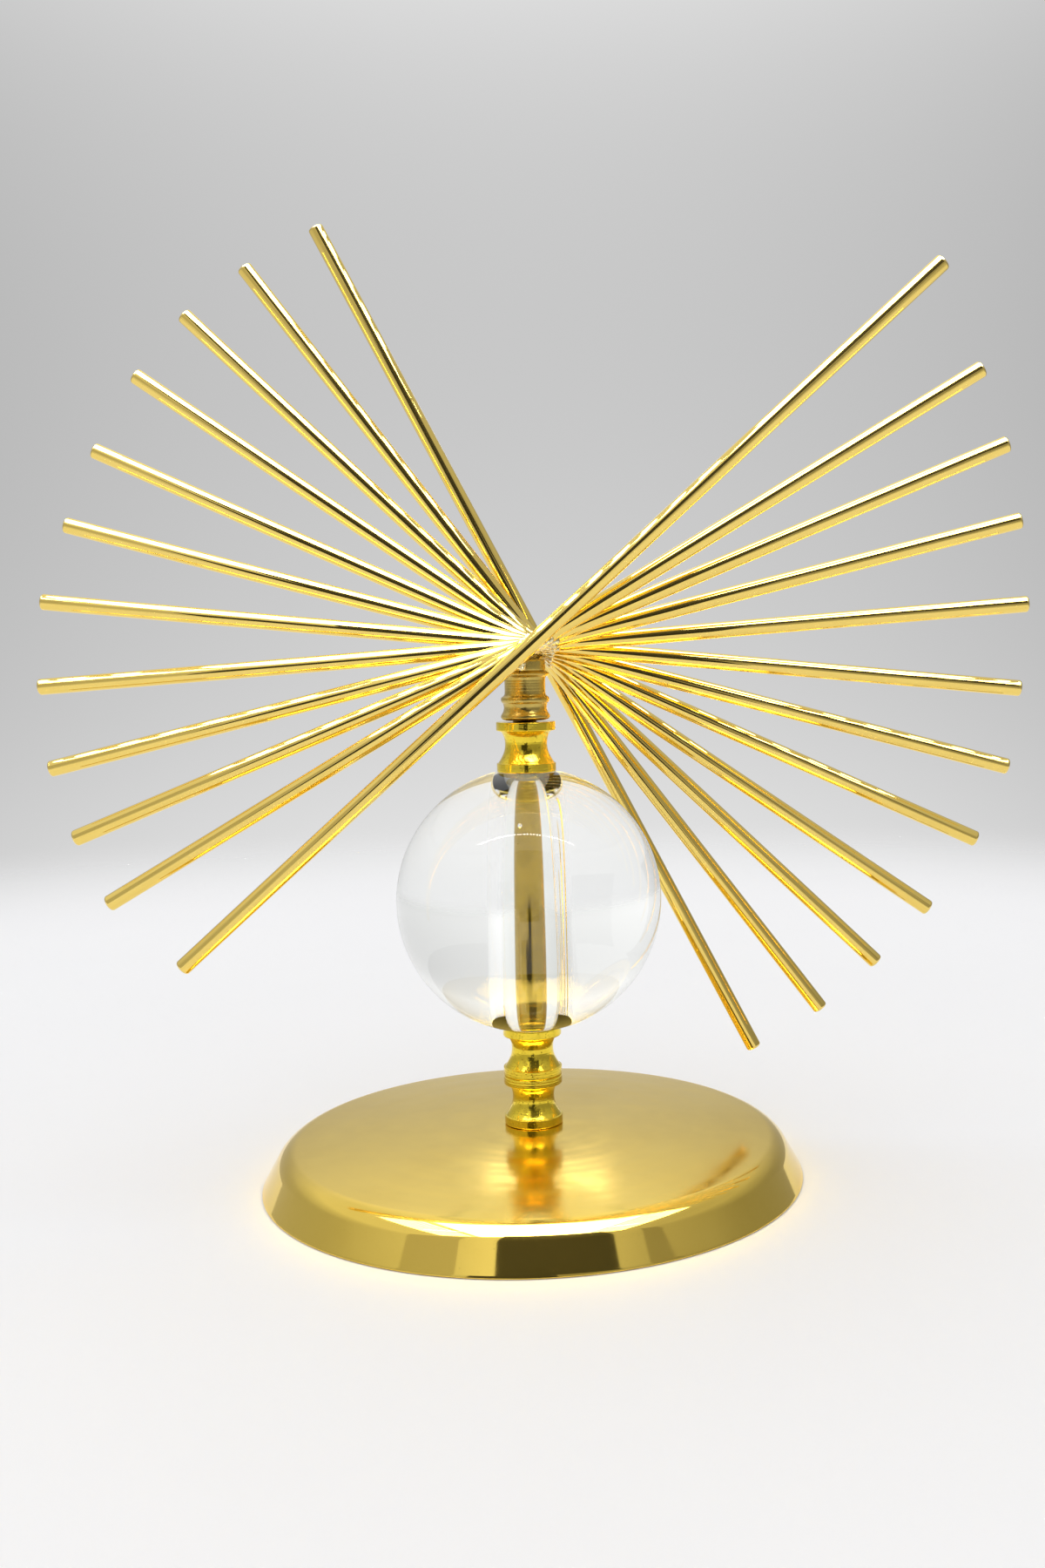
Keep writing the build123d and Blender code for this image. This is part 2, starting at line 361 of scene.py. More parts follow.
# %% Hairline scratches
def build_scratch_group():
    """Three sets of hairlines, each a noise stretched along its own direction."""
    tree, given, result = shader_group(
        "hairline_scratches",
        [("Vector", "Vector", None), ("Scale", "Float", 60.0), ("Share", "Float", 0.5)],
        [("Height", "Float"), ("Mask", "Float")])
    masks = []
    for turn_by, stretch in ((0.35, 22.0), (1.9, 30.0), (2.7, 18.0)):
        aim = node(tree, "ShaderNodeMapping", {
            "Vector": given.outputs["Vector"], "Rotation": (0.1, 0.2, turn_by),
            "Scale": (1.0, stretch, stretch)})
        streak = node(tree, "ShaderNodeTexNoise", {
            "Vector": aim.outputs[0], "Scale": given.outputs["Scale"], "Detail": 2.0,
            "Roughness": 0.5})
        line = node(tree, "ShaderNodeMapRange", {
            "Value": streak.outputs["Fac"], "From Min": 0.70, "From Max": 0.74})
        masks.append(line.outputs[0])
    both = maths(tree, "MAXIMUM", masks[0], masks[1])
    mask = maths(tree, "MULTIPLY", maths(tree, "MAXIMUM", both, masks[2]), given.outputs["Share"])
    tree.links.new(maths(tree, "SUBTRACT", 1.0, mask), result.inputs["Height"])
    tree.links.new(mask, result.inputs["Mask"])
    return tree


scratch_group = build_scratch_group()
print("scratch group:", len(scratch_group.nodes), "nodes")

# %% [markdown]
# ## One recipe for the metals
# Every metal here is the same kind of surface: a fully metallic Principled
# BSDF whose colour and roughness drift, with a bump made of rings, pits and
# scratches.  A function places the four groups and takes their strengths, so
# each finish is one short call.  The shader itself stays in the material.


# %% Metal recipe
def use_group(tree, group, inputs):
    """Place a node group with these values."""
    return node(tree, "ShaderNodeGroup", inputs, node_tree=group)


def new_material(name):
    """A new material; gives it, its tree, its shader and the Object coordinates."""
    material = bpy.data.materials.new(name)
    material.use_nodes = True
    tree = material.node_tree
    shader = tree.nodes["Principled BSDF"]
    place = node(tree, "ShaderNodeTexCoord").outputs["Object"]
    return material, tree, shader, place


METAL_DIRT = (0.35, 0.27, 0.16, 1)
SCRATCH_DEPTH = 0.004
SCRATCH_ROUGHNESS = 0.12


def metal(name, clean, stained, rough, patches=80.0, stain=0.5, pits=(1200.0, 0.0, 0.0),
          rings=(2500.0, 0.0), scratches=(60.0, 0.0), pit_darkness=0.6):
    """A metal finish.

    rough is the low and high roughness; pits is scale, share and bump depth;
    rings is rings per metre and depth; scratches is scale and strength.
    """
    material, tree, shader, place = new_material(name)
    tone = use_group(tree, tone_group, {
        "Vector": place, "Clean": (*clean, 1), "Stained": (*stained, 1), "Patch Scale": patches,
        "Amount": stain, "Rough Low": rough[0], "Rough High": rough[1]})
    pit = use_group(tree, pit_group, {"Vector": place, "Scale": pits[0], "Share": pits[1]})
    ring = use_group(tree, ring_group, {"Vector": place, "Rings": rings[0], "Wander": 1.0})
    scratch = use_group(tree, scratch_group, {
        "Vector": place, "Scale": scratches[0], "Share": scratches[1]})
    dirt = maths(tree, "MULTIPLY", pit.outputs["Mask"], pit_darkness)
    color = mix_colors(tree, dirt, tone.outputs["Color"], METAL_DIRT, "MULTIPLY")
    worn = maths(tree, "MULTIPLY", scratch.outputs["Mask"], SCRATCH_ROUGHNESS)
    roughness = maths(tree, "ADD", tone.outputs["Roughness"], worn)
    marks = maths(tree, "MULTIPLY", ring.outputs["Height"], rings[1])
    holes = maths(tree, "MULTIPLY", pit.outputs["Height"], pits[2])
    lines = maths(tree, "MULTIPLY", scratch.outputs["Height"], SCRATCH_DEPTH * scratches[1])
    height = maths(tree, "ADD", maths(tree, "ADD", marks, holes), lines)
    bump = node(tree, "ShaderNodeBump", {"Strength": 1.0, "Distance": MM, "Height": height})
    tree.links.new(color, shader.inputs["Base Color"])
    tree.links.new(roughness, shader.inputs["Roughness"])
    tree.links.new(bump.outputs[0], shader.inputs["Normal"])
    shader.inputs["Metallic"].default_value = 1.0
    return material


def polish_below(material, height, softness, share):
    """Below this height the metal is polished: its roughness is multiplied by a share."""
    tree = material.node_tree
    shader = tree.nodes["Principled BSDF"]
    rough = shader.inputs["Roughness"].links[0].from_socket
    place = node(tree, "ShaderNodeTexCoord").outputs["Object"]
    parts = node(tree, "ShaderNodeSeparateXYZ", {0: place})
    rise = node(tree, "ShaderNodeMapRange", {
        "Value": parts.outputs["Z"], "From Min": height - softness, "From Max": height + softness,
        "To Min": share, "To Max": 1.0}, interpolation_type="SMOOTHSTEP")
    tree.links.new(maths(tree, "MULTIPLY", rough, rise.outputs[0]), shader.inputs["Roughness"])


print("metal recipe ready")

# %% [markdown]
# ## The metals of this sculpture
# The necks are bright and finely pitted, the collar is dull from the torch,
# and the dish is spun sheet, smooth on top and brightly polished on its
# skirt.  The sleeve behind the glass is drawn tube.  Its dark brown colour
# is partly the tube's own browner brass and partly painted shade of the
# bore it sits in.  Solder is paler, and the washer and nut below are
# zinc-plated steel.

# %% Metals
POLISH_HEIGHT = 12.2 * MM
POLISH_SOFTNESS = 1.6 * MM
POLISH_SHARE = 0.35

turned_brass = metal(
    "turned_brass", (0.96, 0.72, 0.06), (0.62, 0.43, 0.03), (0.07, 0.16), patches=220.0, stain=0.55,
    pits=(1150.0, 0.62, 0.035), rings=(2600.0, 0.03), scratches=(90.0, 0.3), pit_darkness=0.75)
stained_brass = metal(
    "stained_brass", (0.64, 0.47, 0.12), (0.38, 0.27, 0.07), (0.20, 0.32), patches=150.0, stain=0.8,
    pits=(1800.0, 0.35, 0.01), rings=(1900.0, 0.06), scratches=(90.0, 0.3))
dish_brass = metal(
    "dish_brass", (0.93, 0.67, 0.13), (0.78, 0.53, 0.07), (0.13, 0.20), patches=26.0, stain=0.35,
    pits=(900.0, 0.20, 0.003), scratches=(16.0, 0.35), pit_darkness=0.5)
polish_below(dish_brass, POLISH_HEIGHT, POLISH_SOFTNESS, POLISH_SHARE)
# The sleeve's dark clean and stained colours are partly painted shade: they darken it the way the shade
# inside the glass bore would.
sleeve_brass = metal(
    "sleeve_brass", (0.54, 0.37, 0.060), (0.25, 0.165, 0.024), (0.12, 0.24), patches=70.0, stain=0.85,
    pits=(1600.0, 0.3, 0.004), scratches=(60.0, 0.4))
thread_brass = metal(
    "thread_brass", (0.80, 0.58, 0.20), (0.40, 0.27, 0.08), (0.22, 0.38), patches=300.0, stain=0.7,
    pits=(1600.0, 0.3, 0.01))
solder_metal = metal(
    "solder_metal", (0.90, 0.78, 0.46), (0.50, 0.39, 0.18), (0.14, 0.34), patches=420.0, stain=0.7,
    pits=(900.0, 0.75, 0.08))
zinc_steel = metal(
    "zinc_steel", (0.62, 0.62, 0.60), (0.44, 0.42, 0.36), (0.24, 0.38), patches=200.0, stain=0.5,
    pits=(1500.0, 0.3, 0.01), scratches=(80.0, 0.5))
print("metals ready")

# %% [markdown]
# ## The rods' finish
# The rods are polished and lacquered.  Towards their tips the lacquer has
# gone pale and silvery, and the metal shows long pulled streaks.  The finish
# follows each rod, so it reads the rod's own UV map: U goes round it and V
# goes along it.  A seed stored on each rod keeps the twelve from matching.


# %% Rod finish
PALE_TIP = (0.78, 0.66, 0.44, 1)
ROD_DIRT = (0.4, 0.3, 0.15, 1)


def make_rod_brass():
    """Polished, lacquered brass that follows each rod's own UV map."""
    material, tree, shader, place = new_material("rod_brass")
    rod_map = node(tree, "ShaderNodeUVMap", uv_map="UVMap").outputs["UV"]
    seed = node(tree, "ShaderNodeAttribute", attribute_name="rod_seed").outputs["Fac"]
    parts = node(tree, "ShaderNodeSeparateXYZ", {0: rod_map})
    around, along = parts.outputs["X"], parts.outputs["Y"]
    from_middle = maths(tree, "ABSOLUTE", maths(tree, "SUBTRACT", along, 0.5))
    streak_place = node(tree, "ShaderNodeCombineXYZ", {
        "X": maths(tree, "MULTIPLY", around, 9.0), "Y": maths(tree, "MULTIPLY", along, 16.0),
        "Z": maths(tree, "MULTIPLY", seed, 7.3)})
    streaks = node(tree, "ShaderNodeTexNoise", {
        "Vector": streak_place.outputs[0], "Scale": 1.0, "Detail": 8.0, "Roughness": 0.7})
    edge = maths(tree, "ADD", from_middle, maths(tree, "MULTIPLY", streaks.outputs["Fac"], 0.10))
    pale_share = node(tree, "ShaderNodeMapRange", {
        "Value": edge, "From Min": 0.41, "From Max": 0.56, "To Max": 0.95})
    tone = use_group(tree, tone_group, {
        "Vector": streak_place.outputs[0], "Clean": (0.95, 0.71, 0.19, 1),
        "Stained": (0.86, 0.62, 0.14, 1), "Patch Scale": 1.6, "Amount": 0.55,
        "Rough Low": 0.012, "Rough High": 0.03})
    lacquer = mix_colors(tree, pale_share.outputs[0], tone.outputs["Color"], PALE_TIP)
    pit = use_group(tree, pit_group, {"Vector": place, "Scale": 620.0, "Share": 0.16})
    dirt = maths(tree, "MULTIPLY", pit.outputs["Mask"], 0.20)
    color = mix_colors(tree, dirt, lacquer, ROD_DIRT, "MULTIPLY")
    swell_place = node(tree, "ShaderNodeCombineXYZ", {
        "X": maths(tree, "MULTIPLY", around, 3.0), "Y": maths(tree, "MULTIPLY", along, 26.0),
        "Z": maths(tree, "MULTIPLY", seed, 5.1)})
    swell = node(tree, "ShaderNodeTexNoise", {
        "Vector": swell_place.outputs[0], "Scale": 1.0, "Detail": 1.0})
    height = maths(tree, "MULTIPLY", swell.outputs["Fac"], 0.05)
    bump = node(tree, "ShaderNodeBump", {"Strength": 1.0, "Distance": MM, "Height": height})
    roughness = maths(tree, "ADD", tone.outputs["Roughness"],
                      maths(tree, "MULTIPLY", pale_share.outputs[0], 0.03))
    tree.links.new(color, shader.inputs["Base Color"])
    tree.links.new(roughness, shader.inputs["Roughness"])
    tree.links.new(bump.outputs[0], shader.inputs["Normal"])
    shader.inputs["Metallic"].default_value = 1.0
    return material


rod_brass = make_rod_brass()
print("rod finish:", len(rod_brass.node_tree.nodes), "nodes")

# %% [markdown]
# ## Glass and clear plastic
# Solid glass needs no tricks: full transmission, a real index of refraction
# and almost no roughness.  The ball bends the table and the stem's tube by
# itself.  A faint grey-green tint and a very small ripple keep it from
# looking like a formula.  The plastic rings are cloudier.


# %% Clear finishes
def clear(name, tint, deep_tint, rough, index, ripple, clarity=1.0):
    """Glass or clear plastic; clarity is the share of light that goes through."""
    material, tree, shader, place = new_material(name)
    tone = use_group(tree, tone_group, {
        "Vector": place, "Clean": (*tint, 1), "Stained": (*deep_tint, 1), "Patch Scale": 30.0,
        "Amount": 0.5, "Rough Low": rough[0], "Rough High": rough[1]})
    swell = node(tree, "ShaderNodeTexNoise", {"Vector": place, "Scale": 28.0, "Detail": 2.0})
    bump = node(tree, "ShaderNodeBump", {
        "Strength": 1.0, "Distance": MM, "Height": maths(tree, "MULTIPLY", swell.outputs["Fac"], ripple)})
    tree.links.new(tone.outputs["Color"], shader.inputs["Base Color"])
    tree.links.new(tone.outputs["Roughness"], shader.inputs["Roughness"])
    tree.links.new(bump.outputs[0], shader.inputs["Normal"])
    shader.inputs["Transmission Weight"].default_value = clarity
    shader.inputs["IOR"].default_value = index
    return material


ball_glass = clear("ball_glass", (0.975, 0.985, 0.970), (0.95, 0.965, 0.945), (0.0, 0.012), 1.50, 0.02)
ring_plastic = clear("ring_plastic", (0.97, 0.97, 0.94), (0.90, 0.90, 0.84), (0.25, 0.40), 1.40, 0.05, 0.2)
print("clear finishes ready")

# %% [markdown]
# ## The base dish
# A disc of sheet brass was spun over a former: a skirt that leans in, a soft
# shoulder and a shallow dome.  An arc for each stretch gives the outline, and
# the inside runs parallel to it, one sheet thickness in.  The skirt's cut edge
# is rounded over, and the spinning tool left the surface very slightly wavy,
# which is what makes reflections in spun metal wobble.

# %% Dish
DISH_SHEET = 1.5
SKIRT_LEAN = math.radians(29)
SHOULDER_BEND = 8.0
SHOULDER_TOP = 12.8
DOME_SLOPE = math.radians(5.5)
DISH_HOLE = 4.1


def arc_points(centre, bend, start, end, steps):
    """Points of an arc; angles run from outward to upward."""
    angles = [start + (end - start) * k / steps for k in range(steps + 1)]
    return [(centre[0] + bend * math.cos(a), centre[1] + bend * math.sin(a)) for a in angles]


def dish_outline():
    """The dish's outer and inner skin as one loop, in millimetres."""
    rim_radius = node_mm("base_dish")[1][0]
    shoulder_z = SHOULDER_TOP - SHOULDER_BEND * math.cos(DOME_SLOPE)
    skirt_top = shoulder_z + SHOULDER_BEND * math.sin(SKIRT_LEAN)
    shoulder_r = rim_radius - skirt_top * math.tan(SKIRT_LEAN) - SHOULDER_BEND * math.cos(SKIRT_LEAN)
    dome_edge = shoulder_r + SHOULDER_BEND * math.sin(DOME_SLOPE)
    dome = dome_edge / math.sin(DOME_SLOPE)
    dome_z = SHOULDER_TOP - dome * math.cos(DOME_SLOPE)
    upright = math.radians(90)
    hole_angle = upright - math.asin(DISH_HOLE / dome)
    skins = []
    for inset in (0, DISH_SHEET):
        bend = SHOULDER_BEND - inset
        shoulder = arc_points((shoulder_r, shoulder_z), bend, SKIRT_LEAN, upright - DOME_SLOPE, 28)
        top = arc_points((0, dome_z), dome - inset, upright - DOME_SLOPE, hole_angle, 60)
        skins.append(shoulder + top[1:])
    rim = [(rim_radius - DISH_SHEET / math.cos(SKIRT_LEAN), 0), (rim_radius, 0)]
    rounded = soften([skins[1][0], *rim, skins[0][0]], [0, 0.45, 0.45, 0], steps=4)
    skirt = divided(rounded[-2:], 0.6)
    return skins[1][::-1] + rounded[1:-2] + skirt + skins[0][1:]


def spun_wave(radius, height, angle):
    """A trace of the spinning tool: tiny rings, and a slow unevenness round the dish."""
    lift = 0.010 * math.sin(radius * 0.55) + 0.006 * math.sin(radius * 1.31 + 1.7)
    lift += 0.020 * math.sin(3 * angle + radius * 0.07) + 0.012 * math.sin(7 * angle + radius * 0.11)
    share = min(1.0, height / 8)
    return radius - 0.3 * share * (lift + 0.04), height + share * (lift - 0.05)


dish = turn("spun_dish", dish_outline(), segments=288, loop=True, shape=spun_wave, sharp_angle=50)
dress(dish, "stand", "satin_brass_sheet", dish_brass, "base_dish")

# %% [markdown]
# ## The turned necks
# Three equal spools hold the stack apart.  Each has a rounded flange at both
# ends and a waist that a form tool cut: it leaves the upper flange with a
# small hollow, narrows, and flares out again to the lower flange.  Real rings
# of a few hundredths of a millimetre are cut into the mesh, because in a
# polished cove the eye sees them as bright lines.

# %% Necks
NECK_FLANGE = 2.8
NECK_BORE = 4.06


def curve_points(points, steps):
    """A smooth curve through points, as a Catmull-Rom spline."""
    ends = [points[0], *points, points[-1]]
    smooth = [points[0]]
    for a, b, c, d in zip(ends, ends[1:], ends[2:], ends[3:]):
        for k in range(1, steps + 1):
            t = k / steps
            smooth.append(tuple(
                0.5 * (2 * q + (r - p) * t + (2 * p - 5 * q + 4 * r - s) * t**2
                       + (3 * q - p - 3 * r + s) * t**3)
                for p, q, r, s in zip(a, b, c, d)))
    return smooth


def neck_outline(node_name):
    """One neck as a loop: bore, lower flange, waist and upper flange."""
    low, high = node_mm(node_name)
    z, top, rim = low[2], high[2], high[0]
    cove = curve_points([
        (rim - 0.45, z + NECK_FLANGE), (7.9, z + 4.3), (6.95, z + 6.4), (6.62, z + 8.6),
        (6.85, z + 10.6), (7.45, z + 12.0), (8.25, top - NECK_FLANGE)], 7)
    corners = [
        (NECK_BORE, z), (rim, z), (rim, z + NECK_FLANGE), *cove, (rim, top - NECK_FLANGE),
        (rim, top), (NECK_BORE, top)]
    roundings = [0.1, 0.42, 0.30] + [0] * len(cove) + [0.38, 0.40, 0.1]
    rounded = soften(corners, roundings, steps=6, loop=True)
    return divided(rounded, 0.22)


def tool_rings(seed, depth):
    """A shape function that cuts irregular rings, the same all the way round."""
    dice = random.Random(seed)
    waves = [(dice.uniform(3.0, 11.0), dice.uniform(0, 6.3), dice.uniform(0.3, 1.0)) for _ in range(5)]

    def shape(radius, height, angle):
        if radius < NECK_BORE + 0.3:
            return radius, height
        cut = sum(share * math.sin(rate * height + phase) for rate, phase, share in waves)
        return radius + depth * (cut / len(waves) - 1), height

    return shape


for number, name in enumerate(("lower_neck", "middle_neck", "upper_neck")):
    spool = turn(f"turned_{name}", neck_outline(name), segments=128, loop=True,
                 shape=tool_rings(number, 0.014), sharp_angle=60)
    dress(spool, "stand", "turned_brass", turned_brass, name)

# %% [markdown]
# ## The glass ball
# The ball is one solid of glass with a straight bore, so its mesh is a loop
# turned round the axis: up the outside, over a narrow ground edge and down
# the bore.  Glass needs both walls, because light has to enter and leave.
# A few hundred points round the outside keep its outline and its lens clean.
# A small bubble is a hollow inside the glass, so its faces point inwards.

# %% Ball
BALL_BORE = 8.9
BUBBLE_RADIUS = 0.55
BUBBLE_PLACE = (-1.2, -15.0, 21.5)  # from the middle of the ball


def ball_outline():
    """The ball's outside and bore as one loop, and the height of its middle."""
    low, high = node_mm("glass_ball")
    radius, middle = high[0], (low[2] + high[2]) / 2
    seat = math.acos((high[2] - middle) / radius)
    top = math.radians(90) - seat
    outside = arc_points((0, middle), radius, -top, top, 150)
    corners = [(BALL_BORE, low[2]), *outside, (BALL_BORE, high[2])]
    roundings = [0.25] + [0.3] + [0] * (len(outside) - 2) + [0.3, 0.25]
    return divided(soften(corners, roundings, steps=4, loop=True), 1.6), middle


def add_bubble(piece, centre, radius):
    """Join a small inside-out sphere to the glass, as a closed air bubble."""
    work = bmesh.new()
    work.from_mesh(piece.data)
    made = bmesh.ops.create_icosphere(work, subdivisions=3, radius=radius,
                                      matrix=Matrix.Translation(centre) @ Matrix.Diagonal((1, 1, 1.35, 1)))
    faces = {face for vertex in made["verts"] for face in vertex.link_faces}
    for face in faces:
        face.smooth = True
    bmesh.ops.reverse_faces(work, faces=list(faces))
    work.to_mesh(piece.data)
    work.free()


outline, ball_middle = ball_outline()
ball = turn("clear_ball", outline, segments=256, loop=True, sharp_angle=40)
bubble_x, bubble_y, bubble_rise = BUBBLE_PLACE
add_bubble(ball, (bubble_x * MM, bubble_y * MM, (ball_middle + bubble_rise) * MM), BUBBLE_RADIUS * MM)
dress(ball, "ball", "clear_glass", ball_glass, "glass_ball")

# %% [markdown]
# ## Rings, sleeve, washer and nut
# Two clear plastic rings sit in the bore's ends and centre the ball on a thin
# brass sleeve.  The sleeve's ends are rounded over where it was cut with a
# tube cutter.  The washer and nut under the dish keep their CAD shapes, which
# are right already, and only get a zinc finish.


# %% Stem fittings
BUSH_BORE = 4.95
SLEEVE_BORE = 4.05


def ring_outline(node_name, bore, rounding):
    """A plain tube as long and wide as its CAD node, with rounded edges."""
    low, high = node_mm(node_name)
    corners = [(bore, low[2]), (high[0], low[2]), (high[0], high[2]), (bore, high[2])]
    return divided(soften(corners, [rounding] * 4, steps=5, loop=True), 1.0)


for name in ("lower_ball_bush", "upper_ball_bush"):
    ring = turn(f"plastic_{name}", ring_outline(name, BUSH_BORE, 0.35), segments=128, loop=True)
    dress(ring, "stand", "clear_plastic", ring_plastic, name)

sleeve = turn("drawn_sleeve", ring_outline("stem_sleeve", SLEEVE_BORE, 0.4), segments=96, loop=True,
              shape=tool_rings(9, 0.004))
dress(sleeve, "stand", "sleeve_brass", sleeve_brass, "stem_sleeve")

for name in ("base_washer", "base_nut"):
    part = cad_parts[name]
    part.data.materials.clear()
    part.data.materials.append(zinc_steel)
    print(name, "keeps its CAD shape")

# %% [markdown]
# ## The thread, by rule
# A screw thread is a rule: the radius swings between crest and root once for
# each pitch, and the swing is shifted by the angle round the rod.  Geometry
# Nodes apply that rule to a flat grid: one side of the grid is wrapped round
# the axis and the other becomes the height.  Near both ends the radius closes
# to nothing, which rounds and caps the rod.


# %% Geometry node helpers
def geometry_group(name, inputs):
    """A geometry tree with named inputs and one geometry output."""
    tree = bpy.data.node_groups.new(name, "GeometryNodeTree")
    group_socket(tree, "Geometry", "OUTPUT", "Geometry")
    for label, kind, default in inputs:
        group_socket(tree, label, "INPUT", kind, default)
    return tree, tree.nodes.new("NodeGroupInput"), tree.nodes.new("NodeGroupOutput")


def grow(name, tree, inputs, points=None):
    """Run a geometry tree with these named inputs and keep the result as a plain mesh object."""
    carrier = bpy.data.objects.new(name + "_carrier", points or bpy.data.meshes.new(name + "_carrier"))
    scene.collection.objects.link(carrier)
    modifier = carrier.modifiers.new(name, "NODES")
    modifier.node_group = tree
    sockets = {item.name: item.identifier for item in tree.interface.items_tree if item.in_out == "INPUT"}
    for label, value in inputs.items():
        modifier[sockets[label]] = value
    evaluated = carrier.evaluated_get(bpy.context.evaluated_depsgraph_get())
    mesh = bpy.data.meshes.new_from_object(evaluated)
    mesh.name = name
    carrier.modifiers.remove(modifier)
    bpy.data.objects.remove(carrier)
    piece = bpy.data.objects.new(name, mesh)
    scene.collection.objects.link(piece)
    return piece


def finish_tree(tree, geometry, material, result):
    """Realize instances, shade smooth and set the material, then end the tree."""
    real = node(tree, "GeometryNodeRealizeInstances", {"Geometry": geometry})
    smooth = node(tree, "GeometryNodeSetShadeSmooth", {"Geometry": real.outputs[0]})
    painted = node(tree, "GeometryNodeSetMaterial", {"Geometry": smooth.outputs[0], "Material": material})
    tree.links.new(painted.outputs[0], result.inputs[0])


print("geometry helpers ready")

# %% [markdown]
# The tree itself reads like the rule.  The angle comes from one side of the
# grid and the height from the other.  Ping-pong makes the zigzag of the
# thread, a smooth minimum flattens its crest, and a square root closes the
# ends.


# %% Thread tree
def build_thread_tree():
    """A grid wrapped into a screw thread, with closed ends."""
    tree, given, result = geometry_group("screw_thread", [
        ("Crest Radius", "Float", 0.004), ("Depth", "Float", 0.0006), ("Pitch", "Float", 0.00125),
        ("Low", "Float", 0.0), ("High", "Float", 0.1), ("Sides", "Int", 32), ("Rows", "Int", 200),
        ("Material", "Material", None)])
    take = given.outputs
    grid = node(tree, "GeometryNodeMeshGrid", {
        "Size X": 1.0, "Size Y": 1.0, "Vertices X": take["Sides"], "Vertices Y": take["Rows"]})
    spot = node(tree, "ShaderNodeSeparateXYZ", {0: node(tree, "GeometryNodeInputPosition").outputs[0]})
    angle = maths(tree, "MULTIPLY", spot.outputs["X"], 2 * math.pi)
    share = maths(tree, "ADD", spot.outputs["Y"], 0.5)
    height = node(tree, "ShaderNodeMapRange", {
        "Value": share, "To Min": take["Low"], "To Max": take["High"]}).outputs[0]
    turns = maths(tree, "SUBTRACT", maths(tree, "DIVIDE", height, take["Pitch"]), spot.outputs["X"])
    swing = maths(tree, "PINGPONG", turns, 0.5)
    rounded = maths(tree, "SMOOTH_MIN", maths(tree, "MULTIPLY", swing, 2.4), 1.0, 0.3)
    cut = maths(tree, "MULTIPLY", maths(tree, "SUBTRACT", 1.0, rounded), take["Depth"])
    thread = maths(tree, "SUBTRACT", take["Crest Radius"], cut)
    from_end = maths(tree, "MULTIPLY", maths(tree, "PINGPONG", share, 0.5),
                     maths(tree, "SUBTRACT", take["High"], take["Low"]))
    cap = maths(tree, "MULTIPLY", maths(tree, "SQRT", from_end), 0.12)
    radius = maths(tree, "MINIMUM", thread, cap)
    place = node(tree, "ShaderNodeCombineXYZ", {
        "X": maths(tree, "MULTIPLY", radius, maths(tree, "COSINE", angle)),
        "Y": maths(tree, "MULTIPLY", radius, maths(tree, "SINE", angle)), "Z": height})
    bent = node(tree, "GeometryNodeSetPosition", {
        "Geometry": grid.outputs["Mesh"], "Position": place.outputs[0]})
    joined = node(tree, "GeometryNodeMergeByDistance", {"Geometry": bent.outputs[0], "Distance": 2e-6})
    finish_tree(tree, joined.outputs[0], take["Material"], result)
    return tree


def outward(piece):
    """Turn a closed grown mesh's faces outwards, after its doubles are merged."""
    work = bmesh.new()
    work.from_mesh(piece.data)
    bmesh.ops.recalc_face_normals(work, faces=work.faces)
    work.to_mesh(piece.data)
    work.free()


THREAD_PITCH = 1.25
THREAD_DEPTH = 0.62
THREAD_SIDES = 33
ROWS_PER_TURN = 10
stem_low, stem_high = node_mm("stem_rod")
thread_rows = int((stem_high[2] - stem_low[2]) / THREAD_PITCH * ROWS_PER_TURN)
stem = grow("threaded_stem", build_thread_tree(), {
    "Crest Radius": stem_high[0] * MM, "Depth": THREAD_DEPTH * MM, "Pitch": THREAD_PITCH * MM,
    "Low": stem_low[2] * MM, "High": stem_high[2] * MM, "Sides": THREAD_SIDES, "Rows": thread_rows,
    "Material": thread_brass})
outward(stem)
dress(stem, "stand", "threaded_brass", thread_brass, "stem_rod")

# %% [markdown]
# ## The collar
# The collar was turned from bar: a bead at its foot, a cove, a second bead, a
# long barrel with coarse rings, a third bead and a plain cap.  Its foot is cut
# back underneath, so it swivels over the neck with a thin dark gap.  The cap's
# edge was softened by the torch.

# %% Collar
COLLAR_BORE = 4.02
COLLAR_BORE_DEPTH = 14.0
COLLAR_FOOT = node_mm("fan_collar")[0][2]


def collar_outline():
    """Foot bead, cove, second bead, barrel, third bead and cap; heights count from the foot."""
    profile = curve_points([(7.25, 0.32), (7.62, 0.7), (7.7, 1.15), (7.5, 1.75), (7.05, 2.5), (6.74, 3.4),
                            (6.72, 4.3), (6.95, 5.2)], 5)
    profile += curve_points([(7.05, 5.3), (7.42, 5.75), (7.6, 6.4), (7.42, 7.05), (6.9, 7.5)], 6)
    profile += curve_points([(6.62, 7.75), (6.42, 8.4), (6.38, 10.5), (6.42, 12.6), (6.62, 13.4)], 6)
    profile += curve_points([(6.75, 13.55), (7.3, 13.95), (7.6, 14.4), (7.35, 14.85), (6.7, 15.3)], 6)
    profile += [(6.42, 15.5), (6.5, 15.8), (6.5, 18.4), (6.35, 18.85), (5.95, 19.08), (5.2, 19.1),
                (0, 19.1)]
    under = [(0, COLLAR_BORE_DEPTH), (COLLAR_BORE, COLLAR_BORE_DEPTH), (COLLAR_BORE, 0.02), (6.3, 0.02)]
    return divided([(r, h + COLLAR_FOOT) for r, h in under + profile], 0.2)


def collar_marks(radius, height, angle):
    """Coarse rings on the barrel, and a slightly slumped cap."""
    rise = height - COLLAR_FOOT
    if radius < 5.0:
        return radius, height
    barrel = math.exp(-((rise - 11.0) / 3.6) ** 4)
    rings = math.sin(7.4 * rise) + 0.7 * math.sin(12.1 * rise + 1.0) + 0.5 * math.sin(19.3 * rise)
    slump = max(0.0, rise - 16.5) * (0.05 * math.sin(3 * angle + 1) + 0.04 * math.sin(7 * angle))
    return radius + barrel * 0.045 * (rings / 2.2 - 1) - abs(slump), height - abs(slump) * 0.6


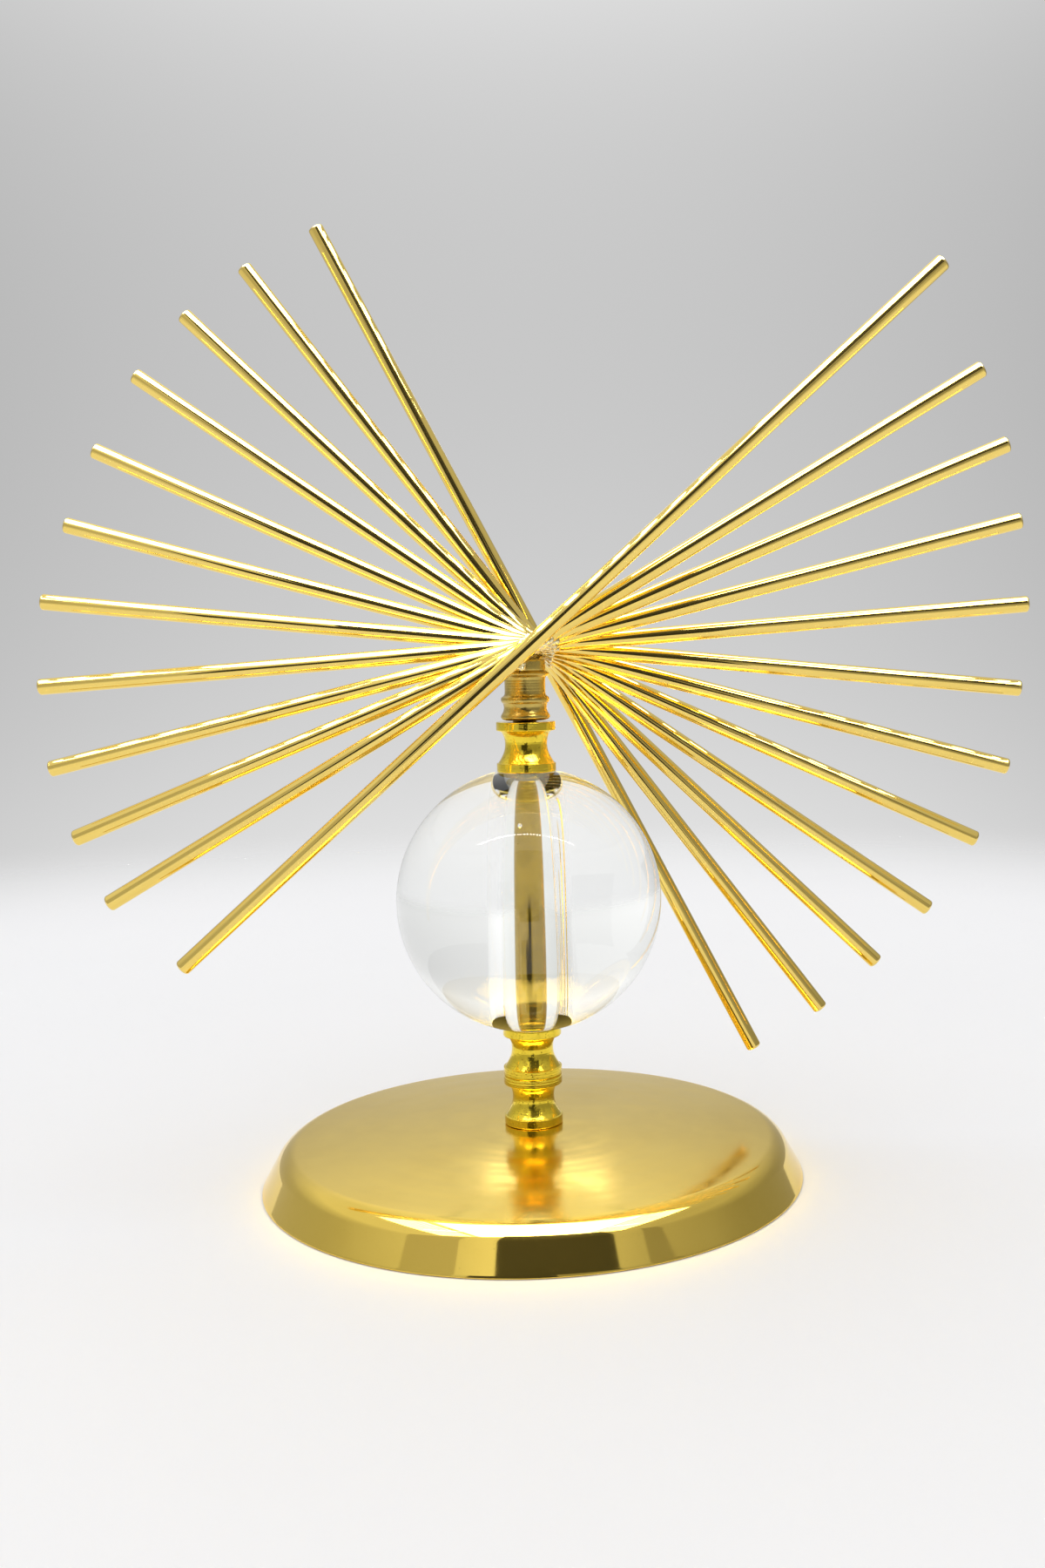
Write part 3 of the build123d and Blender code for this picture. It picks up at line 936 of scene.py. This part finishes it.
collar = turn("swivel_collar", collar_outline(), segments=128, shape=collar_marks, sharp_angle=55)
dress(collar, "fan", "stained_brass", stained_brass, "fan_collar")

# %% [markdown]
# ## The rods, from one tree
# Twelve rods share one rule: a round bar of one length, with softly domed
# tips, at its own slope.  The tree wraps a grid round a line as the thread's
# tree does, stores the UV map and the seed that the finish reads, turns the
# bar to its slope and moves it to its place.  Slopes and places come from the
# CAD rods themselves, so nothing is fitted by eye.


# %% Rod tree
def build_rod_tree():
    """A grid wrapped into one round bar with domed tips, turned to its slope."""
    tree, given, result = geometry_group("fan_rod", [
        ("Length", "Float", 0.3), ("Radius", "Float", 0.0025), ("Tip", "Float", 0.0008),
        ("Bow", "Float", 0.0001), ("Slope", "Float", 0.0), ("Middle", "Vector", None),
        ("Seed", "Float", 0.0), ("Sides", "Int", 49), ("Rows", "Int", 81), ("Material", "Material", None)])
    take = given.outputs
    grid = node(tree, "GeometryNodeMeshGrid", {
        "Size X": 1.0, "Size Y": 1.0, "Vertices X": take["Sides"], "Vertices Y": take["Rows"]})
    spot = node(tree, "ShaderNodeSeparateXYZ", {0: node(tree, "GeometryNodeInputPosition").outputs[0]})
    flank_share = 0.7
    angle = maths(tree, "MULTIPLY", spot.outputs["X"], 2 * math.pi)
    way = maths(tree, "MULTIPLY", spot.outputs["Y"], 2.0)
    far = maths(tree, "ABSOLUTE", way)
    past = maths(tree, "MAXIMUM", maths(tree, "SUBTRACT", far, flank_share), 0.0)
    dome = maths(tree, "MULTIPLY", past, math.pi / 2 / (1 - flank_share))
    half = maths(tree, "SUBTRACT", maths(tree, "DIVIDE", take["Length"], 2.0), take["Tip"])
    flank = maths(tree, "MULTIPLY", maths(tree, "MINIMUM", far, flank_share), 1 / flank_share)
    reach = maths(tree, "ADD", maths(tree, "MULTIPLY", flank, half),
                  maths(tree, "MULTIPLY", maths(tree, "SINE", dome), take["Tip"]))
    along = maths(tree, "MULTIPLY", reach, maths(tree, "SIGN", way))
    closing = maths(tree, "MAXIMUM", maths(tree, "COSINE", dome), 0.0)
    radius = maths(tree, "MULTIPLY", take["Radius"], maths(tree, "POWER", closing, 0.3))
    sag = maths(tree, "SUBTRACT", 1.0, maths(tree, "MULTIPLY", way, way))
    rise = maths(tree, "ADD", maths(tree, "MULTIPLY", radius, maths(tree, "SINE", angle)),
                 maths(tree, "MULTIPLY", sag, take["Bow"]))
    bar = node(tree, "ShaderNodeCombineXYZ", {
        "X": along, "Y": maths(tree, "MULTIPLY", radius, maths(tree, "COSINE", angle)), "Z": rise})
    turned = node(tree, "ShaderNodeVectorRotate", {
        "Vector": bar.outputs[0], "Angle": maths(tree, "MULTIPLY", take["Slope"], -1.0)},
        rotation_type="Y_AXIS")
    moved = node(tree, "ShaderNodeVectorMath", {0: turned.outputs[0], 1: take["Middle"]}, operation="ADD")
    mapped = node(tree, "GeometryNodeStoreNamedAttribute", {
        "Geometry": grid.outputs["Mesh"], "Name": "UVMap", "Value": grid.outputs["UV Map"]},
        data_type="FLOAT2", domain="CORNER")
    seeded = node(tree, "GeometryNodeStoreNamedAttribute", {
        "Geometry": mapped.outputs[0], "Name": "rod_seed", "Value": take["Seed"]},
        data_type="FLOAT", domain="POINT")
    bent = node(tree, "GeometryNodeSetPosition", {
        "Geometry": seeded.outputs[0], "Position": moved.outputs[0]})
    joined = node(tree, "GeometryNodeMergeByDistance", {"Geometry": bent.outputs[0], "Distance": 5e-6})
    finish_tree(tree, joined.outputs[0], take["Material"], result)
    return tree


def rod_line(node_name):
    """A CAD rod's middle, slope and length, read from the two ends of its mesh."""
    spots = [vertex.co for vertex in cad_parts[node_name].data.vertices]
    low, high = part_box(node_name)
    middle = (low + high) / 2
    right = [p for p in spots if p.x > middle.x]
    left = [p for p in spots if p.x <= middle.x]
    lean = sum(right, Vector()) / len(right) - sum(left, Vector()) / len(left)
    slope = math.atan2(lean.z, lean.x)
    axis = Vector((math.cos(slope), 0, math.sin(slope)))
    reach = [(p - middle).dot(axis) for p in spots]
    return middle, slope, max(reach) - min(reach)


ROD_SIDES = 49
ROD_ROWS = 81
ROD_TIP = 0.9
ROD_BOW = 0.12

rod_tree = build_rod_tree()
rod_names = sorted(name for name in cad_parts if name.startswith("rod_") and name[4:].isdigit())
dice = random.Random(12)
rods = []
for number, name in enumerate(rod_names):
    middle, slope, length = rod_line(name)
    radius = (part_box(name)[1].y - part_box(name)[0].y) / 2
    rod = grow(f"brass_{name}", rod_tree, {
        "Length": length, "Radius": radius, "Tip": ROD_TIP * MM,
        "Bow": dice.uniform(-ROD_BOW, ROD_BOW) * MM,
        "Slope": slope, "Middle": tuple(middle), "Seed": float(number),
        "Sides": ROD_SIDES, "Rows": ROD_ROWS,
        "Material": rod_brass})
    outward(rod)
    dress(rod, "fan", "polished_brass_rod", rod_brass, name)
    rods.append((middle, slope, radius))
    print(name, "slope", round(math.degrees(slope), 1), "length mm", round(length / MM, 1))

# %% [markdown]
# ## Solder
# The rods were soldered to each other and to the collar.  Molten metal pulls
# itself into round, merged drops, so solder is made the same way: points say
# where the drops are and how big, a ball is set on each, and turning the balls
# into a volume and back into a mesh melts them into one skin.  A noise then
# roughens it.  The tree is used twice, once for the bed and once for the webs.


# %% Melting tree
def build_melt_tree():
    """Balls on points, melted into one rippled skin."""
    tree, given, result = geometry_group("melted_solder", [
        ("Drops", "Geometry", None), ("Voxel", "Float", 0.0003), ("Ripple", "Float", 0.0002),
        ("Ripple Scale", "Float", 900.0), ("Material", "Material", None)])
    take = given.outputs
    ball_mesh = node(tree, "GeometryNodeMeshIcoSphere", {"Radius": 1.0, "Subdivisions": 3})
    size = node(tree, "GeometryNodeInputNamedAttribute", {"Name": "size"}, data_type="FLOAT")
    drops = node(tree, "GeometryNodeInstanceOnPoints", {
        "Points": take["Drops"], "Instance": ball_mesh.outputs["Mesh"], "Scale": size.outputs[0]})
    solid = node(tree, "GeometryNodeRealizeInstances", {"Geometry": drops.outputs[0]})
    volume = node(tree, "GeometryNodeMeshToVolume", {
        "Mesh": solid.outputs[0], "Density": 1.0, "Voxel Size": take["Voxel"],
        "Interior Band Width": maths(tree, "MULTIPLY", take["Voxel"], 3.0)}, resolution_mode="VOXEL_SIZE")
    skin = node(tree, "GeometryNodeVolumeToMesh", {
        "Volume": volume.outputs[0], "Voxel Size": take["Voxel"], "Threshold": 0.12},
        resolution_mode="VOXEL_SIZE")
    grain = node(tree, "ShaderNodeTexNoise", {
        "Vector": node(tree, "GeometryNodeInputPosition").outputs[0], "Scale": take["Ripple Scale"],
        "Detail": 4.0, "Roughness": 0.6})
    depth = maths(tree, "MULTIPLY", maths(tree, "SUBTRACT", grain.outputs["Fac"], 0.6), take["Ripple"])
    outwards = node(tree, "ShaderNodeVectorMath", {
        0: node(tree, "GeometryNodeInputNormal").outputs[0], "Scale": depth}, operation="SCALE")
    rough = node(tree, "GeometryNodeSetPosition", {
        "Geometry": skin.outputs[0], "Offset": outwards.outputs[0]})
    finish_tree(tree, rough.outputs[0], take["Material"], result)
    return tree


def drop_points(name, drops):
    """A mesh of bare points with a size each, for the melting tree."""
    mesh = bpy.data.meshes.new(name)
    mesh.from_pydata([tuple(Vector(spot) * MM) for spot, size in drops], [], [])
    sizes = mesh.attributes.new("size", "FLOAT", "POINT")
    sizes.data.foreach_set("value", [size * MM for spot, size in drops])
    return mesh


melt_tree = build_melt_tree()
print("melting tree:", len(melt_tree.nodes), "nodes")

# %% [markdown]
# The bed fills the collar's top.  Its drops stand in a ring, which melts into
# a wavy lip that sags at the front, and a loose scatter fills the middle.


# %% Solder bed on the collar
SOLDER_VOXEL = 0.28
LIP_DROPS = 26
FILLING_DROPS = 18


def bed_drops(seed):
    """Drops that melt into the collar's top: three large ones, a wavy lip and a filling."""
    dice = random.Random(seed)
    top = node_mm("fan_collar")[1][2]
    drops = [((0, 0, top + 0.6), 3.2), ((1.2, 0.4, top + 1.0), 2.8), ((-1.6, 0.8, top + 0.9), 2.7)]
    for k in range(LIP_DROPS):
        angle = 2 * math.pi * k / LIP_DROPS
        reach = 5.1 + dice.uniform(-0.25, 0.2)
        front = max(0.0, math.cos(angle + math.pi / 2 + 0.2)) ** 6
        lift = -0.35 + 0.3 * math.sin(2 * angle + 0.8) + dice.uniform(-0.15, 0.15) - 0.9 * front
        drops.append(((reach * math.cos(angle), reach * math.sin(angle), top + lift),
                      dice.uniform(0.95, 1.25) - 0.25 * front))
    for _ in range(FILLING_DROPS):
        angle, reach = dice.uniform(0, 2 * math.pi), dice.uniform(1.5, 4.2)
        drops.append(((reach * math.cos(angle), reach * math.sin(angle), top + dice.uniform(0.0, 1.3)),
                      dice.uniform(0.9, 1.5)))
    return drops


bed = grow("solder_bed", melt_tree, {
    "Voxel": SOLDER_VOXEL * MM, "Ripple": 0.35 * MM, "Ripple Scale": 700.0, "Material": solder_metal},
    points=drop_points("bed_points", bed_drops(4)))
dress(bed, "fan", "solder", solder_metal, "collar_solder")

# %% [markdown]
# Each pair of neighbouring rods touches where their lines cross.  The crossing
# is worked out from the two slopes, and a row of drops runs away from it on
# both sides, in the groove that solder is drawn into.  A spare lump hangs
# under the front rods.


# %% Solder webs between the rods
WEB_DROPS = 9
LUMP_DROPS = 16
LUMP_SIDE = 0.5
LUMP_HEIGHT = 162.5


def web_drops(rods, seed):
    """Drops in the grooves beside each pair of neighbouring rods, near the place where they cross."""
    dice = random.Random(seed)
    drops = []
    for (here, slope, _), (there, next_slope, _) in zip(rods, rods[1:]):
        a = Vector((math.cos(slope), math.sin(slope)))
        b = Vector((math.cos(next_slope), math.sin(next_slope)))
        gap = Vector((there.x - here.x, there.z - here.z))
        reach = (gap.x * b.y - gap.y * b.x) / (a.x * b.y - a.y * b.x)
        cross = Vector((here.x, here.z)) + a * reach
        lean = (slope + next_slope) / 2
        along = Vector((math.cos(lean), math.sin(lean)))
        below = Vector((math.sin(lean), -math.cos(lean)))
        y = (here.y + there.y) / 2 / MM
        for side, length in ((1, dice.uniform(5.0, 7.2)), (-1, dice.uniform(2.5, 4.5))):
            for k in range(WEB_DROPS):
                share = k / (WEB_DROPS - 1)
                fall = 1.85 + 0.35 * share
                spot = cross / MM + along * side * (length * share) + below * side * fall
                swell = 0.25 * share if side > 0 else -0.2 * share
                drops.append(((spot.x, y, spot.y), dice.uniform(0.85, 1.15) + swell))
    return drops


def lump_drops(rods, seed):
    """The blob of spare solder that hangs under the two front rods."""
    dice = random.Random(seed)
    y = rods[0][0].y / MM + 1.2
    return [((LUMP_SIDE + dice.uniform(-1.2, 1.2), y + dice.uniform(-1.5, 1.5),
              LUMP_HEIGHT + dice.uniform(-0.8, 0.8)), dice.uniform(0.5, 0.9)) for _ in range(LUMP_DROPS)]


webs = grow("solder_webs", melt_tree, {
    "Voxel": SOLDER_VOXEL * MM, "Ripple": 0.4 * MM, "Ripple Scale": 800.0, "Material": solder_metal},
    points=drop_points("web_points", web_drops(rods, 7) + lump_drops(rods, 5)))
dress(webs, "fan", "solder", solder_metal, "rod_solder")

# %% [markdown]
# ## The studio
# Polished brass shows nothing but its surroundings, so the studio matters as
# much as the metal.  It is a white light tent: a pale floor, pale walls, and a
# bright ceiling that turns the top of every rod white.  The tent's front is
# open, and the dark room beyond it draws the fine black line along the rods.
# The floor comes first.  It fades out far from the sculpture, so that it meets
# the walls without an edge.


# %% Floor
FLOOR_RADIUS = 1.3
FLOOR_DROP = 0.0002
FLOOR_SIDES = 128


def disc_mesh(radius, z, count):
    """A flat disc as a fan of triangles."""
    rim = [(radius * math.cos(2 * math.pi * k / count), radius * math.sin(2 * math.pi * k / count), z)
           for k in range(count)]
    return [(0, 0, z), *rim], [(0, 1 + k, 1 + (k + 1) % count) for k in range(count)]


def make_floor():
    """Pale paper just under the dish's rim."""
    material, tree, shader, place = new_material("studio_floor")
    distance = node(tree, "ShaderNodeVectorMath", {0: place}, operation="LENGTH").outputs["Value"]
    fade = node(tree, "ShaderNodeMapRange", {
        "Value": distance, "From Min": 0.45, "From Max": 1.05, "To Min": 1.0, "To Max": 0.0},
        interpolation_type="SMOOTHERSTEP")
    paper = node(tree, "ShaderNodeTexNoise", {"Vector": place, "Scale": 6.0, "Detail": 3.0})
    tint = mix_colors(tree, paper.outputs["Fac"], (0.91, 0.91, 0.925, 1), (0.94, 0.94, 0.955, 1))
    tree.links.new(tint, shader.inputs["Base Color"])
    tree.links.new(fade.outputs[0], shader.inputs["Alpha"])
    shader.inputs["Roughness"].default_value = 0.6
    floor = mesh_object("floor", *disc_mesh(FLOOR_RADIUS, -FLOOR_DROP, FLOOR_SIDES))
    floor.data.materials.append(material)
    return floor


floor = make_floor()
print("floor ready")

# %% [markdown]
# The walls are the world's own shader: a ramp of greys over the height of the
# view direction.  The camera and the brass see one ramp, which is a little
# dimmer towards the corners.  All other light, and what comes through the
# glass, uses a brighter one, so the tent lights the scene evenly.  For the
# brass, the right side is dimmed as well, so that the rods on the right come
# out a shade darker than those on the left.

# %% Light tent
WALL_SHADES = ((-1.0, 0.90), (-0.24, 0.95), (-0.14, 0.78), (-0.035, 0.65), (0.09, 0.59), (0.19, 0.57),
               (0.29, 0.59), (0.38, 0.68), (0.60, 1.0), (1.0, 2.0))
TENT_SHADES = ((-1.0, 0.92), (-0.05, 0.84), (0.20, 0.76), (0.45, 0.80), (0.70, 1.45), (1.0, 2.4))


def shade_ramp(tree, value, shades, low, high):
    """A colour ramp of greys over a range of directions."""
    share = node(tree, "ShaderNodeMapRange", {"Value": value, "From Min": low, "From Max": high})
    ramp = node(tree, "ShaderNodeValToRGB", {0: share.outputs[0]})
    ramp.color_ramp.interpolation = "B_SPLINE"
    stops = ramp.color_ramp.elements
    stops.remove(stops[1])
    for number, (rise, shade) in enumerate(shades):
        share_along = (rise - low) / (high - low)
        stop = stops.new(share_along) if number else stops[0]
        stop.position = share_along
        stop.color = (shade, shade, shade, 1)
    return ramp.outputs[0]


def make_tent():
    """Two ramps of greys in the world, and a switch between them for each kind of ray."""
    world = bpy.data.worlds.new("light_tent")
    world.use_nodes = True
    scene.world = world
    tree = world.node_tree
    parts = node(tree, "ShaderNodeSeparateXYZ", {0: node(tree, "ShaderNodeTexCoord").outputs["Generated"]})
    wall = shade_ramp(tree, parts.outputs["Z"], WALL_SHADES, -1.0, 1.0)
    off_centre = maths(tree, "ADD", parts.outputs["X"], 0.05)
    corner = maths(tree, "MULTIPLY", maths(tree, "MULTIPLY", off_centre, off_centre), 1.5)
    wall_strength = maths(tree, "SUBTRACT", 1.0, maths(tree, "MINIMUM", corner, 0.2))
    tent = shade_ramp(tree, parts.outputs["Z"], TENT_SHADES, -1.0, 1.0)
    side = node(tree, "ShaderNodeMapRange", {
        "Value": parts.outputs["X"], "From Min": -1.0, "From Max": 1.0, "To Min": 1.25, "To Max": 0.85})
    path = node(tree, "ShaderNodeLightPath").outputs
    mirrored = maths(tree, "MULTIPLY", path["Is Glossy Ray"],
                     maths(tree, "SUBTRACT", 1.0, path["Is Transmission Ray"]))
    seen = maths(tree, "MAXIMUM", path["Is Camera Ray"], mirrored)
    right_dim = node(tree, "ShaderNodeMapRange", {
        "Value": parts.outputs["X"], "From Min": 0.05, "From Max": 0.70, "To Min": 0.0, "To Max": 0.33})
    mirrored_dim = maths(tree, "SUBTRACT", 1.0, maths(tree, "MULTIPLY", mirrored, right_dim.outputs[0]))
    wall_strength = maths(tree, "MULTIPLY", wall_strength, mirrored_dim)
    seen_back = node(tree, "ShaderNodeBackground", {"Color": wall, "Strength": wall_strength})
    light_back = node(tree, "ShaderNodeBackground", {"Color": tent, "Strength": side.outputs[0]})
    mixed = node(tree, "ShaderNodeMixShader", {
        0: seen, 1: light_back.outputs[0], 2: seen_back.outputs[0]})
    tree.links.new(mixed.outputs[0], tree.nodes["World Output"].inputs["Surface"])


make_tent()
print("light tent ready")

# %% [markdown]
# In a studio, cards stand round shiny things.  These are switched off for the
# camera, for diffuse light and for shadows, so they show only in reflections:
# dark ones for the room beyond the open front, grey ones for the seams of the
# tent, and two soft patches behind.

# %% Card helpers
def card_finish(name, shade, glow):
    """A plain card; glow is how much light it gives."""
    material = bpy.data.materials.new(name)
    material.use_nodes = True
    shader = material.node_tree.nodes["Principled BSDF"]
    shader.inputs["Base Color"].default_value = (shade, shade, shade, 1)
    shader.inputs["Emission Color"].default_value = (1, 0.985, 0.96, 1)
    shader.inputs["Emission Strength"].default_value = glow
    shader.inputs["Roughness"].default_value = 0.9
    return material


def only_reflected(piece, through_glass=False):
    """Staging that shows in reflections only."""
    piece.visible_camera = False
    piece.visible_diffuse = False
    piece.visible_shadow = False
    piece.visible_transmission = through_glass


def card(name, corners, material):
    """A flat card from four corners; the dark room also shows through the glass."""
    piece = mesh_object(name, corners, [(0, 1, 2, 3)])
    piece.data.materials.append(material)
    only_reflected(piece, through_glass=material is dark_room)
    print(name, "from", corners[0], "to", corners[2])
    return piece


def upright(low, high, y):
    """Corners of a standing card; low and high are (x, z)."""
    return [(low[0], y, low[1]), (high[0], y, low[1]), (high[0], y, high[1]), (low[0], y, high[1])]


print("card helpers ready")

# %% Standing cards
OPEN_FRONT = -0.62
ABOVE_FRONT = -0.625
TENT_SEAM = -0.63
TRIPOD = -0.58
TENT_BACK = 0.60

dark_room = card_finish("dark_room", 0.006, 0.0)
dim_room = card_finish("dim_room", 0.05, 0.24)
grey_room = card_finish("grey_room", 0.05, 0.42)
back_light = card_finish("back_light", 0.8, 1.4)
card("room_beyond", upright((-0.27, 0.10), (0.04, 0.37), OPEN_FRONT), dark_room)
card("room_above", upright((-0.15, 0.37), (0.46, 0.84), ABOVE_FRONT), dark_room)
card("tripod_gap", upright((-0.05, 0.0), (0.11, 0.36), TRIPOD), dark_room)
card("room_edge", upright((0.05, 0.14), (0.44, 0.42), TENT_SEAM), dim_room)
card("left_seam", upright((-0.85, 0.20), (-0.36, 0.66), TENT_SEAM), grey_room)
card("right_seam", upright((0.74, 0.20), (1.25, 0.66), TENT_SEAM), dim_room)
card("back_panel_left", upright((-0.080, 0.315), (-0.028, 0.41), TENT_BACK), back_light)
card("back_panel_right", upright((-0.018, 0.315), (0.034, 0.41), TENT_BACK), back_light)

# %% [markdown]
# Over the sculpture hangs one wide bright panel, with a row of narrow tubes on
# each side.  Light linking takes the glass and the floor out of its light, so
# that the glass mirrors only the lamps and the floor stays even.

# %% Ceiling
CEILING_HEIGHT = 0.9
CEILING_FRONT = -0.72
CEILING_BACK = 0.16
PANEL_LEFT = -0.35
PANEL_RIGHT = 0.40
TUBES_PER_SIDE = 7
FIRST_TUBE = 0.422
TUBE_PITCH = 0.042
TUBE_WIDTH = 0.021

ceiling_light = card_finish("ceiling_light", 0.8, 10.0)


def ceiling_card(name, left, right):
    """A flat card under the ceiling."""
    corners = [
        (left, CEILING_FRONT, CEILING_HEIGHT), (right, CEILING_FRONT, CEILING_HEIGHT),
        (right, CEILING_BACK, CEILING_HEIGHT), (left, CEILING_BACK, CEILING_HEIGHT)]
    return card(name, corners, ceiling_light)


ceiling = [ceiling_card("ceiling_panel", PANEL_LEFT, PANEL_RIGHT)]
for number in range(TUBES_PER_SIDE):
    near = FIRST_TUBE + TUBE_PITCH * number
    far = near + 0.001
    ceiling.append(ceiling_card(f"ceiling_tube_right_{number}", near, near + TUBE_WIDTH))
    ceiling.append(ceiling_card(f"ceiling_tube_left_{number}", -far, TUBE_WIDTH - far))

unlit = bpy.data.collections.new("not_lit_by_ceiling_panel")
for left_out in (ball, floor):
    unlit.objects.link(left_out)
for entry in unlit.collection_objects:
    entry.light_linking.link_state = "EXCLUDE"
for panel in ceiling:
    panel.light_linking.receiver_collection = unlit

# %% [markdown]
# A strip of small lamps above the open front makes beads of light on the
# glass.  A row of equal things is a rule, so Geometry Nodes set one small ball
# on each point of a line.


# %% Lamp strip
LAMP_START = (-0.42, -0.26, 0.62)
LAMP_STEP = (0.024, 0, 0)
LAMP_COUNT = 36
LAMP_RADIUS = 0.0075


def build_strip_tree():
    """A row of small round lamps between two points."""
    tree, given, result = geometry_group("lamp_strip", [
        ("Start", "Vector", None), ("Step", "Vector", None), ("Count", "Int", 60),
        ("Lamp Radius", "Float", 0.002), ("Material", "Material", None)])
    take = given.outputs
    row = node(tree, "GeometryNodeMeshLine", {
        "Count": take["Count"], "Start Location": take["Start"], "Offset": take["Step"]})
    lamp = node(tree, "GeometryNodeMeshIcoSphere", {"Radius": take["Lamp Radius"], "Subdivisions": 1})
    lamps = node(tree, "GeometryNodeInstanceOnPoints", {
        "Points": row.outputs[0], "Instance": lamp.outputs["Mesh"]})
    finish_tree(tree, lamps.outputs[0], take["Material"], result)
    return tree


lamp_glow = card_finish("lamp_glow", 0.8, 30.0)
lamp_glow.cycles.emission_sampling = "NONE"
strip = grow("front_lamps", build_strip_tree(), {
    "Start": LAMP_START, "Step": LAMP_STEP, "Count": LAMP_COUNT, "Lamp Radius": LAMP_RADIUS,
    "Material": lamp_glow})
only_reflected(strip)
print("front_lamps", len(strip.data.polygons), "faces")
